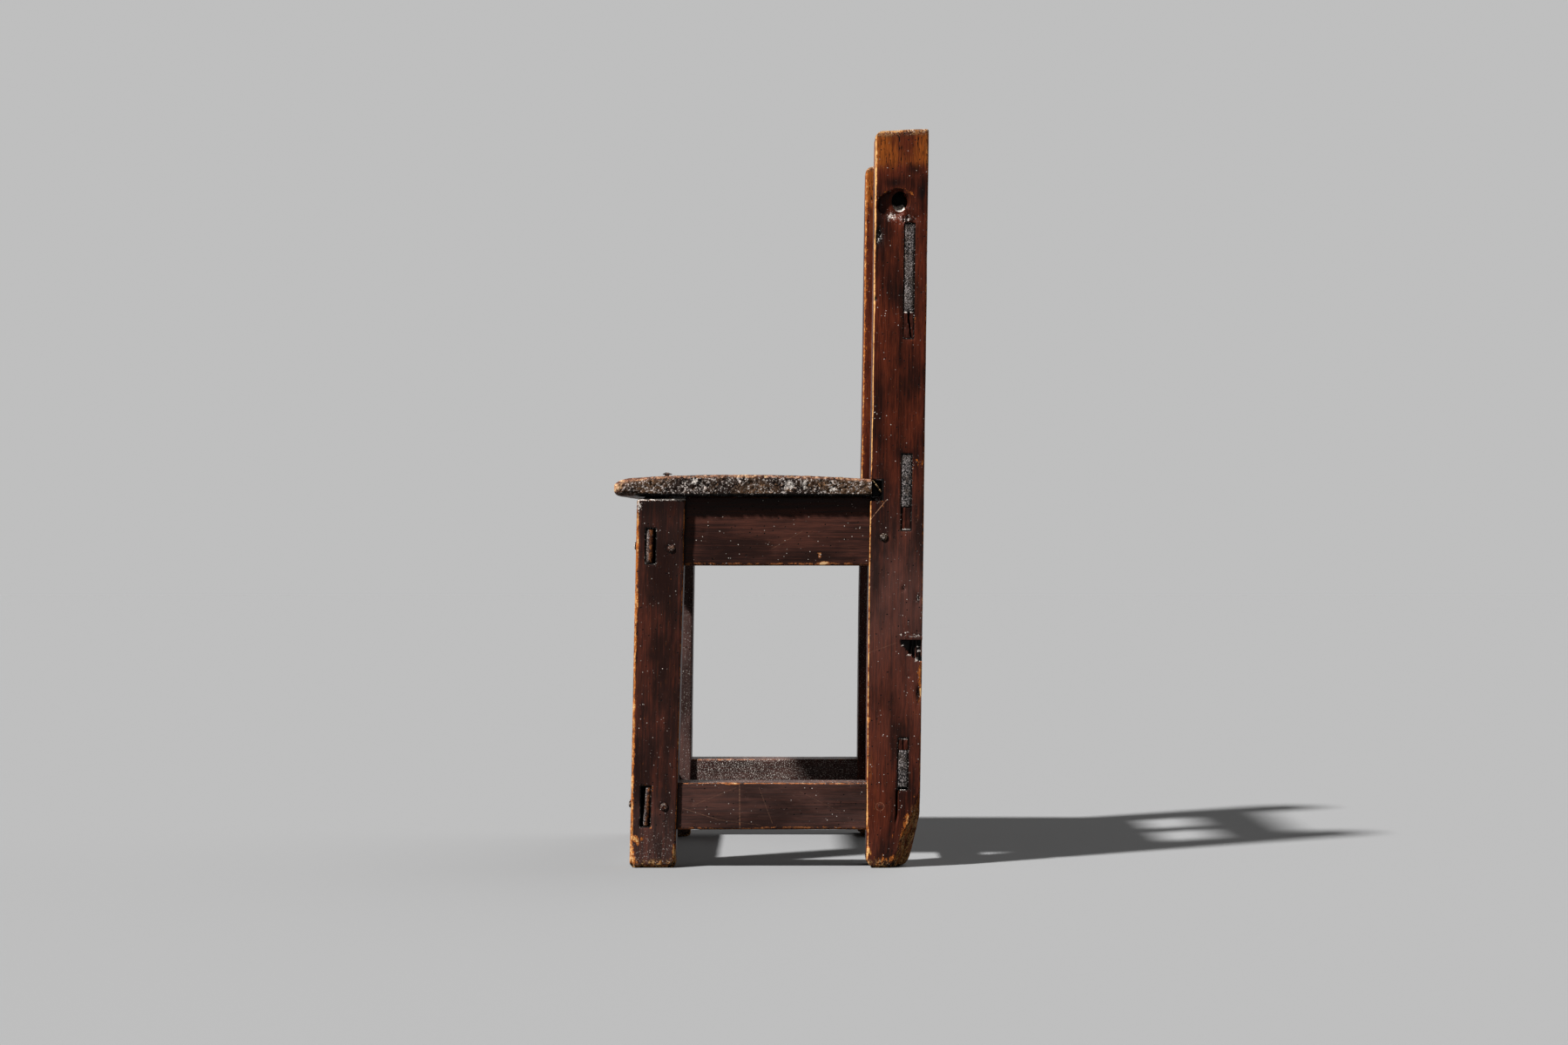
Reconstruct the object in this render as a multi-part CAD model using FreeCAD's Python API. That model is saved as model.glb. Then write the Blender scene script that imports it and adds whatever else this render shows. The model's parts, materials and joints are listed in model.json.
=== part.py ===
import FreeCAD, Part
import math
import os

# A child's joined chair. Rails and stretchers are tenoned through two front legs and two tall
# back posts, each tenon is locked by whittled pegs, and a one-board seat is nailed on top.
# Millimetres. The floor is z = 0, the sitter faces -Y and +X is the sitter's left.
# The origin lies on the floor, under the middle of the whole chair.

Vector = FreeCAD.Vector
ACROSS = Vector(1, 0, 0)
BACKWARD = Vector(0, 1, 0)
UP = Vector(0, 0, 1)

# Whole chair
OVERALL_DEPTH = 247.0          # seat nose to the back of the post tops
FRAME_WIDTH = 280.0            # over the outer faces of the legs and posts
ARRIS_RADIUS = 1.6             # wear on the long edges of rails
ARRIS_FLAT = 1.4               # wear flat on the edges of legs and posts
CUT_OVERRUN = 12.0             # how far a cut runs past its piece
FIT_GAP = 0.1                  # round a driven peg or nail, and at a tenon's cheeks
EDGE_FLATNESS = 0.01           # an edge within this of a plane lies in it

# Front legs
LEG_HEIGHT = 290.0
LEG_THICKNESS = 36.0
LEG_TOP_DEPTH = 38.2
LEG_FOOT_DEPTH = 36.0
LEG_SPLAY = 6.0                # the foot stands this far ahead of the top

# Back posts
POST_EAR = 75.0                # post above the crest rail
POST_THICKNESS = 36.0
POST_DEPTH = 41.0
POST_LEAN = 7.5                # the top stands this far behind the foot
POST_TOP_SLOPE = 2.0           # the top falls towards the front
POST_CROWN_RADIUS = 5.6        # front corner of the top
POST_TOE_FLAT = 3.6            # worn off the front corner of the foot
HEEL_HEIGHT = 62.0             # the worn heel curves in below this height
HEEL_WEAR = 11.5               # by this much at the floor
HEEL_BEND_SHARE = 0.5          # of the heel's height, where its two tangents meet
HEEL_ARC_SHARE = 0.85          # of the tangent's length that the arc takes up

# Hanging hole in the left post, with a dish worn round its mouth
HOLE_RADIUS = 6.2
HOLE_RISE = 18.0               # above the top of the crest rail
HOLE_SETBACK = 19.0            # behind the front face of the post
HOLE_FLOOR = 8.0               # wood left behind the hole
DISH_RADIUS = 13.0
DISH_DEPTH = 2.4

# Seat board
SEAT_THICKNESS = 17.0          # at the crown
SEAT_CROWN_RADIUS = 1500.0     # of the top, front to back
SEAT_CROWN_AHEAD = 25.0        # crown line, ahead of the middle of the chair
SEAT_NOSE = 18.0               # overhang in front of the legs
SEAT_SIDE = 2.0                # overhang past the outer faces of the legs
SEAT_NOSE_ROUND = 12.0         # length of the rounding on top of the nose
SEAT_NOSE_UNDERCUT = 4.0       # length of the rounding below it
SEAT_NOSE_TIP_SHARE = 0.43     # of the thickness, height of the foremost line
NOSE_TOP_MID_SHARES = (0.34, 0.71)    # of the top rounding's length and height
NOSE_LOW_MID_SHARES = (0.25, 0.34)    # of the lower rounding's length and height
SEAT_CORNER_RADIUS = 10.0      # front corners in plan
SEAT_EDGE_RADIUS = 3.0         # worn top edges at the sides
SEAT_CUT_SHARE = 0.08          # of those radii, by which the rounding cuts clear the faces
SEAT_BACK_LIP = 3.0            # thickness left at the rear, below the broken bevel
LEG_TOP_GAP = 1.5              # daylight between the leg tops and the board
NOTCH_DEPTH = 8.4              # housing for the board in the posts
NOTCH_BELOW = 3.6              # housing floor, below the board
NOTCH_ROOM = 0.5               # above and behind the board

# Seat rails
RAIL_HEIGHT = 54.5
FRONT_RAIL_THICKNESS = 20.0
FRONT_RAIL_SETBACK = 4.0       # behind the front face of the legs
SIDE_RAIL_THICKNESS = 20.0
SIDE_RAIL_SETBACK = 6.0        # inside the outer face of the legs
SIDE_RAIL_FRONT_PEG_RISE = 13.5
SIDE_RAIL_BACK_PEG_RISE = 22.5

# Stretchers
STRETCHER_RISE = 29.8          # side and front stretchers above the floor
STRETCHER_HEIGHT = 36.8
FRONT_STRETCHER_THICKNESS = 18.0
SIDE_STRETCHER_THICKNESS = 29.0
SIDE_STRETCHER_SETBACK = 3.0
REAR_STRETCHER_RISE = 59.0
REAR_STRETCHER_HEIGHT = 35.0
REAR_STRETCHER_THICKNESS = 14.0

# Back rails and the bar between them
WINDOW_HEIGHT = 99.0           # opening between the lower rail and the crest rail
CREST_HEIGHT = 80.0
CREST_THICKNESS = 20.0
LOWER_RAIL_ABOVE_SEAT = 17.5   # top of the lower rail, above the crown of the seat
LOWER_RAIL_HEIGHT = 62.0
LOWER_RAIL_THICKNESS = 23.5
BACK_RAIL_REAR_SHOULDER = 2.0  # rail behind its tenon
SPLAT_WIDTH = 30.0
SPLAT_THICKNESS = 12.0
SPLAT_SETBACK = 4.0            # behind the front face of the crest rail
SPLAT_TENON_WIDTH = 22.0
SPLAT_TENON_THICKNESS = 6.0
SPLAT_TENON_LENGTH = 12.0

# Tenons along the sides, blind in the legs and posts
SIDE_TENON_THICKNESS = 8.0
SIDE_TENON_LENGTH = 19.0
SIDE_TENON_SHOULDER = 6.0      # rail outside its tenon
RAIL_TENON_RISE = 4.0          # tenon above the lower edge of a side seat rail
RAIL_TENON_HEIGHT = 30.0
STRETCHER_TENON_RISE = 3.2     # tenon above the lower edge of a side or front stretcher
STRETCHER_TENON_HEIGHT = 30.4

# Tenons across the chair, right through the legs and posts
TENON_END_RECESS = 0.4         # end grain worn back from the outer face
FRONT_TENON_SETBACK = 8.0      # behind the front face of the legs
FRONT_TENON_THICKNESS = 5.6
FRONT_MORTISE_SLACK = 2.2      # open gap that shrinkage left beside the tenon
FRONT_RAIL_TENON_RISE = 2.2
FRONT_RAIL_TENON_HEIGHT = 26.5
BACK_TENON_SETBACK = 23.3      # behind the front face of the posts
BACK_TENON_THICKNESS = 7.5
CREST_TENON_HEIGHT = 68.5      # level with the top of the crest rail
LOWER_RAIL_TENON_HEIGHT = 41.0
LOWER_RAIL_TENON_RISE = 19.0
REAR_STRETCHER_TENON_RISE = 2.0
REAR_STRETCHER_TENON_HEIGHT = 31.4
MORTISE_END_GAP = 0.5          # above and below a tenon

# Wedges that fill the long ends of the post mortises
WEDGE_LENGTH = 24.0
WEDGE_TAPER = 1.6              # lost over its length
CREST_WEDGE_HEIGHT = 21.0
LOWER_RAIL_WEDGE_HEIGHT = 18.0
REAR_STRETCHER_WEDGE_HEIGHT = 9.4

# Pegs, whittled to eight faces and driven into round holes
PEG_RADIUS = 3.1
PEG_FACES = 8
PEG_HOLE_FACE_COUNT = 16       # flats that stand for the round of the bored hole
PEG_TIP_SHARE = 0.86           # tip radius over the driven end's
PEG_SHOULDER_SHARE = 0.93      # exposed end's radius over the body's
PEG_RELIEF = 0.8               # length of the relieved exposed end
PEG_INSET = 10.0               # from the shoulder line of the rail that it locks
SIDE_PEG_PROUD = 0.8
FRONT_PEG_PROUD = 1.8
BACK_PEG_PROUD = 1.0
SIDE_PEG_PAST = 2.0            # beyond the tenon that it locks
CROSS_PEG_PAST = 6.0
CREST_PEG_SHARES = (0.17, 0.71)       # of the crest tenon's height

# Forged nails through the seat board
NAIL_HEAD_RADIUS = 4.0
NAIL_HEAD_TOP_RADIUS = 1.6
NAIL_HEAD_HEIGHT = 1.8
NAIL_LENGTH = 31.0
NAIL_SHANK = 3.2
NAIL_TIP_SHARE = 0.35
NAIL_FACES = 6
FRONT_NAIL_SETBACK = 23.0      # behind the front face of the legs
BACK_NAIL_AHEAD = 24.0         # ahead of the front face of the posts

# Places that follow from the sizes above
HALF_WIDTH = FRAME_WIDTH / 2
LEG_INNER = HALF_WIDTH - LEG_THICKNESS
POST_INNER = HALF_WIDTH - POST_THICKNESS
SEAT_BOTTOM = LEG_HEIGHT + LEG_TOP_GAP
SEAT_TOP = SEAT_BOTTOM + SEAT_THICKNESS
NOSE_Y = -OVERALL_DEPTH / 2
LEG_TOP_Y = NOSE_Y + SEAT_NOSE
RAIL_BOTTOM = SEAT_BOTTOM - RAIL_HEIGHT
STRETCHER_TOP = STRETCHER_RISE + STRETCHER_HEIGHT
LOWER_RAIL_TOP = SEAT_TOP + LOWER_RAIL_ABOVE_SEAT
LOWER_RAIL_BOTTOM = LOWER_RAIL_TOP - LOWER_RAIL_HEIGHT
CREST_BOTTOM = LOWER_RAIL_TOP + WINDOW_HEIGHT
CREST_TOP = CREST_BOTTOM + CREST_HEIGHT
POST_HEIGHT = CREST_TOP + POST_EAR
HOLE_Z = CREST_TOP + HOLE_RISE
BACK_TENON = (BACK_TENON_SETBACK, BACK_TENON_SETBACK + BACK_TENON_THICKNESS)
FRONT_TENON = (FRONT_TENON_SETBACK, FRONT_TENON_SETBACK + FRONT_TENON_THICKNESS)
BACK_RAIL_REAR = BACK_TENON[1] + BACK_RAIL_REAR_SHOULDER


def leg_front(z):
    """Y of the front face of a front leg at a height."""
    return LEG_TOP_Y - LEG_SPLAY * (LEG_HEIGHT - z) / LEG_HEIGHT


def leg_back(z):
    """Y of the rear face of a front leg, which is a little deeper at the top."""
    return leg_front(z) + LEG_FOOT_DEPTH + (LEG_TOP_DEPTH - LEG_FOOT_DEPTH) * z / LEG_HEIGHT


def post_front(z):
    """Y of the front face of a back post, which leans back."""
    return OVERALL_DEPTH / 2 - POST_DEPTH - POST_LEAN * (POST_HEIGHT - z) / POST_HEIGHT


def post_back(z):
    """Y of the rear face of a back post."""
    return post_front(z) + POST_DEPTH


def seat_top(y):
    """Height of the seat's crowned top at a place front to back."""
    across = y + SEAT_CROWN_AHEAD
    return SEAT_TOP - SEAT_CROWN_RADIUS + math.sqrt(SEAT_CROWN_RADIUS ** 2 - across ** 2)


def rounded_wire(corners):
    """Closed wire of lines and tangent arcs through (corner, radius) pairs; radius 0 is sharp."""
    bends = []
    for index, (corner, radius) in enumerate(corners):
        to_before = (corners[index - 1][0] - corner).normalize()
        to_after = (corners[(index + 1) % len(corners)][0] - corner).normalize()
        half_angle = to_before.getAngle(to_after) / 2
        reach = radius / math.tan(half_angle)
        inward = (to_before + to_after).normalize()
        middle = corner + inward * (radius / math.sin(half_angle) - radius)
        bends.append((corner + to_before * reach, middle, corner + to_after * reach))
    edges = []
    for index, (start, middle, end) in enumerate(bends):
        if corners[index][1] > 0:
            edges.append(Part.Arc(start, middle, end).toShape())
        next_start = bends[(index + 1) % len(bends)][0]
        edges.append(Part.LineSegment(end, next_start).toShape())
    return Part.Wire(edges)


def across_prism(wire, x_low, x_high):
    """A side outline, drawn at x = 0, carried across the chair."""
    face = Part.Face(wire)
    face.translate(ACROSS * x_low)
    return face.extrude(ACROSS * (x_high - x_low))


def leaning_corners(front, setbacks, heights):
    """Four corners whose front and rear follow a leaning face at two setbacks from it."""
    low, high = heights
    near, far = setbacks
    return [
        Vector(0, front(low) + near, low),
        Vector(0, front(low) + far, low),
        Vector(0, front(high) + far, high),
        Vector(0, front(high) + near, high),
    ]


def leaning_block(front, setbacks, heights, x_low, x_high):
    """A sharp block between two setbacks from a leaning face."""
    corners = leaning_corners(front, setbacks, heights)
    return across_prism(Part.makePolygon(corners + corners[:1]), x_low, x_high)


def leaning_beam(front, setbacks, heights, half_length):
    """A cross rail's body with worn arrises."""
    corners = leaning_corners(front, setbacks, heights)
    wire = rounded_wire([(corner, ARRIS_RADIUS) for corner in corners])
    return across_prism(wire, -half_length, half_length)


def worn_edges(prism):
    """Wear flats along the edges of a prism's two sides."""
    edges = [edge for edge in prism.Edges if edge.BoundBox.XLength < EDGE_FLATNESS]
    return prism.makeChamfer(ARRIS_FLAT, edges)


def cut_all(shape, tools):
    """Cut a list of tools from a shape, one after another."""
    for tool in tools:
        shape = shape.cut(tool)
    return shape


def mirrored(shape):
    """The same piece for the other side of the chair."""
    return shape.mirror(Vector(), ACROSS)


def both_sides(shapes):
    """Pieces of the left side together with their mirror images."""
    return shapes + [mirrored(shape) for shape in shapes]


def turned_ring(radius, height, faces):
    """Corners of a regular outline round the local z axis."""
    angles = [2 * math.pi * step / faces for step in range(faces)]
    return [Vector(radius * math.cos(angle), radius * math.sin(angle), height) for angle in angles]


def polygon_face(corners):
    """A flat face with these corners."""
    return Part.Face(Part.makePolygon(corners + corners[:1]))


def faceted(rings):
    """A solid with flat faces between rings of corners and a flat cap at each end."""
    faces = [polygon_face(rings[0]), polygon_face(rings[-1])]
    for lower, upper in zip(rings, rings[1:]):
        for index in range(len(lower)):
            sides = [lower[index - 1], lower[index], upper[index], upper[index - 1]]
            faces.append(polygon_face(sides))
    return Part.Solid(Part.Shell(faces))


def peg(driven_end, direction, length):
    """A tapered eight-sided peg whose exposed end is slightly relieved."""
    solid = faceted([
        turned_ring(PEG_RADIUS * PEG_SHOULDER_SHARE, 0, PEG_FACES),
        turned_ring(PEG_RADIUS, PEG_RELIEF, PEG_FACES),
        turned_ring(PEG_RADIUS * PEG_TIP_SHARE, length, PEG_FACES),
    ])
    solid.Placement = FreeCAD.Placement(driven_end, FreeCAD.Rotation(UP, direction))
    return solid


def peg_hole(driven_end, direction, length):
    """The bored hole that a peg is driven into, open at the face and a little deep."""
    radius = PEG_RADIUS + FIT_GAP
    solid = faceted([
        turned_ring(radius, -CUT_OVERRUN, PEG_HOLE_FACE_COUNT),
        turned_ring(radius, length + FIT_GAP, PEG_HOLE_FACE_COUNT),
    ])
    solid.Placement = FreeCAD.Placement(driven_end, FreeCAD.Rotation(UP, direction))
    return solid


def side_tenon_bar(x_outer, heights, gap):
    """One straight bar that is both tenons of a side rail, or their mortises with a gap."""
    low, high = heights
    middle = (low + high) / 2
    y_low = leg_back(middle) - SIDE_TENON_LENGTH - gap
    y_high = post_front(middle) + SIDE_TENON_LENGTH + gap
    size_x = SIDE_TENON_THICKNESS + 2 * gap
    size_z = high - low + 2 * gap
    corner = Vector(x_outer - SIDE_TENON_THICKNESS - gap, y_low, low - gap)
    return Part.makeBox(size_x, y_high - y_low, size_z, corner)


def side_rail(x_outer, thickness, heights):
    """Rounded bar along one side, shouldered to the leaning leg and post."""
    low, high = heights
    x_inner = x_outer - thickness
    y_low = leg_front(low)
    y_high = post_back(high)
    section = [Vector(x_inner, y_low, low), Vector(x_outer, y_low, low),
               Vector(x_outer, y_low, high), Vector(x_inner, y_low, high)]
    wire = rounded_wire([(corner, ARRIS_RADIUS) for corner in section])
    bar = Part.Face(wire).extrude(BACKWARD * (y_high - y_low))
    reach = [Vector(0, leg_back(low), low), Vector(0, post_front(low), low),
             Vector(0, post_front(high), high), Vector(0, leg_back(high), high)]
    return bar.common(across_prism(Part.makePolygon(reach + reach[:1]), x_inner, x_outer))


def mortise(front, setbacks, heights, x_inner):
    """A slot right through a leg or post."""
    low, high = heights
    near, far = setbacks
    return leaning_block(front, (near - FIT_GAP, far + FIT_GAP), (low, high),
                         x_inner - CUT_OVERRUN, HALF_WIDTH + CUT_OVERRUN)


def wedge(setbacks, heights, x_outer, tapered_low):
    """A filler driven in from outside beside a post tenon, thinner at its inner end."""
    low, high = heights
    x_inner = x_outer - WEDGE_LENGTH
    block = leaning_block(post_front, setbacks, heights, x_inner, x_outer)
    inner_low = low + WEDGE_TAPER * tapered_low
    inner_high = high - WEDGE_TAPER * (1 - tapered_low)
    ahead = post_front(low) - CUT_OVERRUN
    corners = [Vector(x_outer, ahead, low), Vector(x_outer, ahead, high),
               Vector(x_inner, ahead, inner_high), Vector(x_inner, ahead, inner_low)]
    face = Part.Face(Part.makePolygon(corners + corners[:1]))
    return block.common(face.extrude(BACKWARD * (POST_DEPTH + 2 * CUT_OVERRUN)))


# Heights of each tenon, low and high
side_rail_tenon = (RAIL_BOTTOM + RAIL_TENON_RISE,
                   RAIL_BOTTOM + RAIL_TENON_RISE + RAIL_TENON_HEIGHT)
stretcher_tenon = (STRETCHER_RISE + STRETCHER_TENON_RISE,
                   STRETCHER_RISE + STRETCHER_TENON_RISE + STRETCHER_TENON_HEIGHT)
front_rail_tenon = (RAIL_BOTTOM + FRONT_RAIL_TENON_RISE,
                    RAIL_BOTTOM + FRONT_RAIL_TENON_RISE + FRONT_RAIL_TENON_HEIGHT)
crest_tenon = (CREST_TOP - CREST_TENON_HEIGHT, CREST_TOP)
lower_rail_tenon = (LOWER_RAIL_BOTTOM + LOWER_RAIL_TENON_RISE,
                    LOWER_RAIL_BOTTOM + LOWER_RAIL_TENON_RISE + LOWER_RAIL_TENON_HEIGHT)
rear_tenon = (REAR_STRETCHER_RISE + REAR_STRETCHER_TENON_RISE,
              REAR_STRETCHER_RISE + REAR_STRETCHER_TENON_RISE + REAR_STRETCHER_TENON_HEIGHT)


def widened(heights, below, above):
    """Heights of a mortise from those of its tenon."""
    return (heights[0] - below, heights[1] + above)


def middle_of(heights):
    """Half-way up a tenon."""
    return (heights[0] + heights[1]) / 2


# Left side and cross pegs: which rail each locks, where it starts, which way, how long
side_rail_x = HALF_WIDTH - SIDE_RAIL_SETBACK
side_stretcher_x = HALF_WIDTH - SIDE_STRETCHER_SETBACK


def side_peg(rail_x, y, z):
    """A peg driven inward through a side rail's tenon."""
    driven_end = Vector(HALF_WIDTH + SIDE_PEG_PROUD, y, z)
    tip_x = rail_x - SIDE_TENON_SHOULDER - SIDE_TENON_THICKNESS - SIDE_PEG_PAST
    return (driven_end, -ACROSS, driven_end.x - tip_x)


def front_peg(z):
    """A peg driven backward through a front tenon, close to its shoulder."""
    driven_end = Vector(LEG_INNER + PEG_INSET, leg_front(z) - FRONT_PEG_PROUD, z)
    return (driven_end, BACKWARD, FRONT_PEG_PROUD + FRONT_TENON[1] + CROSS_PEG_PAST)


def back_peg(z):
    """A peg driven forward from behind through a back tenon, close to its shoulder."""
    driven_end = Vector(POST_INNER + PEG_INSET, post_back(z) + BACK_PEG_PROUD, z)
    return (driven_end, -BACKWARD, BACK_PEG_PROUD + POST_DEPTH - BACK_TENON[0] + CROSS_PEG_PAST)


side_rail_front_z = RAIL_BOTTOM + SIDE_RAIL_FRONT_PEG_RISE
side_rail_back_z = RAIL_BOTTOM + SIDE_RAIL_BACK_PEG_RISE
side_stretcher_z = middle_of(stretcher_tenon)
leg_side_pegs = {
    "seat_rail": side_peg(side_rail_x, leg_back(side_rail_front_z) - PEG_INSET, side_rail_front_z),
    "stretcher": side_peg(side_stretcher_x, leg_back(side_stretcher_z) - PEG_INSET,
                          side_stretcher_z),
}
post_side_pegs = {
    "seat_rail": side_peg(side_rail_x, post_front(side_rail_back_z) + PEG_INSET, side_rail_back_z),
    "stretcher": side_peg(side_stretcher_x, post_front(side_stretcher_z) + PEG_INSET,
                          side_stretcher_z),
}
front_pegs = {
    "front_seat_rail": [front_peg(middle_of(front_rail_tenon))],
    "front_stretcher": [front_peg(middle_of(stretcher_tenon))],
}
back_pegs = {
    "crest_rail": [back_peg(crest_tenon[0] + share * CREST_TENON_HEIGHT)
                   for share in CREST_PEG_SHARES],
    "lower_back_rail": [back_peg(middle_of(lower_rail_tenon))],
    "rear_stretcher": [back_peg(middle_of(rear_tenon))],
}
leg_holes = [peg_hole(*each) for each in leg_side_pegs.values()]
leg_holes += [peg_hole(*each) for group in front_pegs.values() for each in group]
post_holes = [peg_hole(*each) for each in post_side_pegs.values()]
post_holes += [peg_hole(*each) for group in back_pegs.values() for each in group]

# Nails: two into the leg tops, two into the side rails
nail_x_front = HALF_WIDTH - LEG_THICKNESS / 2
nail_x_back = side_rail_x - SIDE_RAIL_THICKNESS / 2
nail_y_front = leg_front(LEG_HEIGHT) + FRONT_NAIL_SETBACK
nail_y_back = post_front(SEAT_BOTTOM) - BACK_NAIL_AHEAD
nail_places = [Vector(nail_x_front, nail_y_front, seat_top(nail_y_front)),
               Vector(nail_x_back, nail_y_back, seat_top(nail_y_back))]


def square_ring(half_side, height):
    """Corners of a square outline round the local z axis."""
    return [Vector(half_side, half_side, height), Vector(-half_side, half_side, height),
            Vector(-half_side, -half_side, height), Vector(half_side, -half_side, height)]


def nail(place):
    """A forged nail: a hammered, faceted head on a square tapering shank."""
    head = faceted([turned_ring(NAIL_HEAD_RADIUS, 0, NAIL_FACES),
                    turned_ring(NAIL_HEAD_TOP_RADIUS, NAIL_HEAD_HEIGHT, NAIL_FACES)])
    shank = faceted([square_ring(NAIL_SHANK * NAIL_TIP_SHARE / 2, -NAIL_LENGTH),
                     square_ring(NAIL_SHANK / 2, 0)])
    solid = head.fuse(shank)
    solid.translate(place)
    return solid


def nail_hole(place):
    """The hole that a nail has worked in the wood, and the bed that its head has pressed."""
    side = NAIL_SHANK + 2 * FIT_GAP
    corner = place - Vector(side / 2, side / 2, NAIL_LENGTH + FIT_GAP)
    hole = Part.makeBox(side, side, NAIL_LENGTH + FIT_GAP + CUT_OVERRUN, corner)
    return hole.fuse(Part.makeCylinder(NAIL_HEAD_RADIUS + FIT_GAP, CUT_OVERRUN, place))


nail_holes = [nail_hole(place) for place in nail_places]

# Mortise bars of the two side rails, shared by legs and posts
rail_bar_x = side_rail_x - SIDE_TENON_SHOULDER
stretcher_bar_x = side_stretcher_x - SIDE_TENON_SHOULDER
side_mortises = [side_tenon_bar(rail_bar_x, side_rail_tenon, FIT_GAP),
                 side_tenon_bar(stretcher_bar_x, stretcher_tenon, FIT_GAP)]


def front_leg():
    """Left front leg, with through mortises for the front rails and blind ones for the sides."""
    outline = leaning_corners(leg_front, (0, LEG_FOOT_DEPTH), (0, LEG_HEIGHT))
    outline[2] = Vector(0, leg_back(LEG_HEIGHT), LEG_HEIGHT)
    leg = across_prism(Part.makePolygon(outline + outline[:1]), LEG_INNER, HALF_WIDTH)
    leg = worn_edges(leg)
    rail_slot = (FRONT_TENON[0], FRONT_TENON[1] + FRONT_MORTISE_SLACK)
    stretcher_slot = (FRONT_TENON[0] - FRONT_MORTISE_SLACK, FRONT_TENON[1])
    slots = [
        mortise(leg_front, rail_slot,
                widened(front_rail_tenon, MORTISE_END_GAP, MORTISE_END_GAP), LEG_INNER),
        mortise(leg_front, stretcher_slot,
                widened(stretcher_tenon, MORTISE_END_GAP, MORTISE_END_GAP), LEG_INNER),
    ]
    return cut_all(leg, slots + side_mortises + leg_holes + nail_holes)


def back_post():
    """Left back post without its hanging hole: leaning, with a rounded top and a worn heel."""
    bend_z = HEEL_HEIGHT * HEEL_BEND_SHARE
    turn = math.atan2(HEEL_WEAR, bend_z)
    heel_radius = bend_z * HEEL_ARC_SHARE / math.tan(turn / 2)
    top_front = POST_HEIGHT - POST_TOP_SLOPE
    outline = [
        (Vector(0, post_front(0) + POST_TOE_FLAT, 0), 0),
        (Vector(0, post_back(0) - HEEL_WEAR, 0), 0),
        (Vector(0, post_back(bend_z), bend_z), heel_radius),
        (Vector(0, post_back(POST_HEIGHT), POST_HEIGHT), 0),
        (Vector(0, post_front(top_front), top_front), POST_CROWN_RADIUS),
        (Vector(0, post_front(POST_TOE_FLAT), POST_TOE_FLAT), 0),
    ]
    post = worn_edges(across_prism(rounded_wire(outline), POST_INNER, HALF_WIDTH))
    board_back = seat_top(post_front(SEAT_BOTTOM))
    slots = [
        mortise(post_front, BACK_TENON,
                widened(crest_tenon, CREST_WEDGE_HEIGHT, MORTISE_END_GAP), POST_INNER),
        mortise(post_front, BACK_TENON,
                widened(lower_rail_tenon, LOWER_RAIL_WEDGE_HEIGHT, MORTISE_END_GAP), POST_INNER),
        mortise(post_front, BACK_TENON,
                widened(rear_tenon, MORTISE_END_GAP, REAR_STRETCHER_WEDGE_HEIGHT), POST_INNER),
        leaning_block(post_front, (-CUT_OVERRUN, NOTCH_DEPTH),
                      (SEAT_BOTTOM - NOTCH_BELOW, board_back + NOTCH_ROOM),
                      POST_INNER - CUT_OVERRUN, HALF_WIDTH + CUT_OVERRUN),
    ]
    return cut_all(post, slots + side_mortises + post_holes)


def hanging_hole():
    """A blind hole bored into a post and the round dish that use has worn at its outer mouth."""
    y = post_front(HOLE_Z) + HOLE_SETBACK
    start = Vector(POST_INNER + HOLE_FLOOR, y, HOLE_Z)
    bore = Part.makeCylinder(HOLE_RADIUS, POST_THICKNESS - HOLE_FLOOR + CUT_OVERRUN, start, ACROSS)
    ball_radius = (DISH_RADIUS ** 2 + DISH_DEPTH ** 2) / (2 * DISH_DEPTH)
    ball = Part.makeSphere(ball_radius, Vector(HALF_WIDTH - DISH_DEPTH + ball_radius, y, HOLE_Z))
    return [bore, ball]


def cross_rail(front, setbacks, heights, shoulder, tenon_setbacks, tenon_heights, cuts):
    """A rail across the chair with a through tenon at each end, bored for its pegs."""
    body = leaning_beam(front, setbacks, heights, shoulder)
    tenon_end = HALF_WIDTH - TENON_END_RECESS
    tenon = leaning_block(front, tenon_setbacks, tenon_heights, -tenon_end, tenon_end)
    return cut_all(body.fuse(tenon).removeSplitter(), cuts)


def back_rail(thickness, heights, tenon_heights, cuts):
    """A cross rail between the posts, flush at a small shoulder behind its tenon."""
    return cross_rail(post_front, (BACK_RAIL_REAR - thickness, BACK_RAIL_REAR), heights,
                      POST_INNER, BACK_TENON, tenon_heights, cuts)


def front_rail(thickness, heights, tenon_heights, cuts):
    """A cross rail between the front legs, set back from their faces."""
    return cross_rail(leg_front, (FRONT_RAIL_SETBACK, FRONT_RAIL_SETBACK + thickness), heights,
                      LEG_INNER, FRONT_TENON, tenon_heights, cuts)


def cross_holes(pegs):
    """Holes of both ends of a cross rail."""
    return both_sides([peg_hole(*each) for each in pegs])


def splat_front():
    """Setback of the bar's front face behind the front face of the posts."""
    return BACK_RAIL_REAR - CREST_THICKNESS + SPLAT_SETBACK


def splat_tenon_bar(gap):
    """The bar's two stub tenons as one straight piece, or their mortises with a gap."""
    near = splat_front() + (SPLAT_THICKNESS - SPLAT_TENON_THICKNESS) / 2
    half_width = SPLAT_TENON_WIDTH / 2 + gap
    heights = (LOWER_RAIL_TOP - SPLAT_TENON_LENGTH - gap, CREST_BOTTOM + SPLAT_TENON_LENGTH + gap)
    return leaning_block(post_front, (near - gap, near + SPLAT_TENON_THICKNESS + gap), heights,
                         -half_width, half_width)


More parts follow.
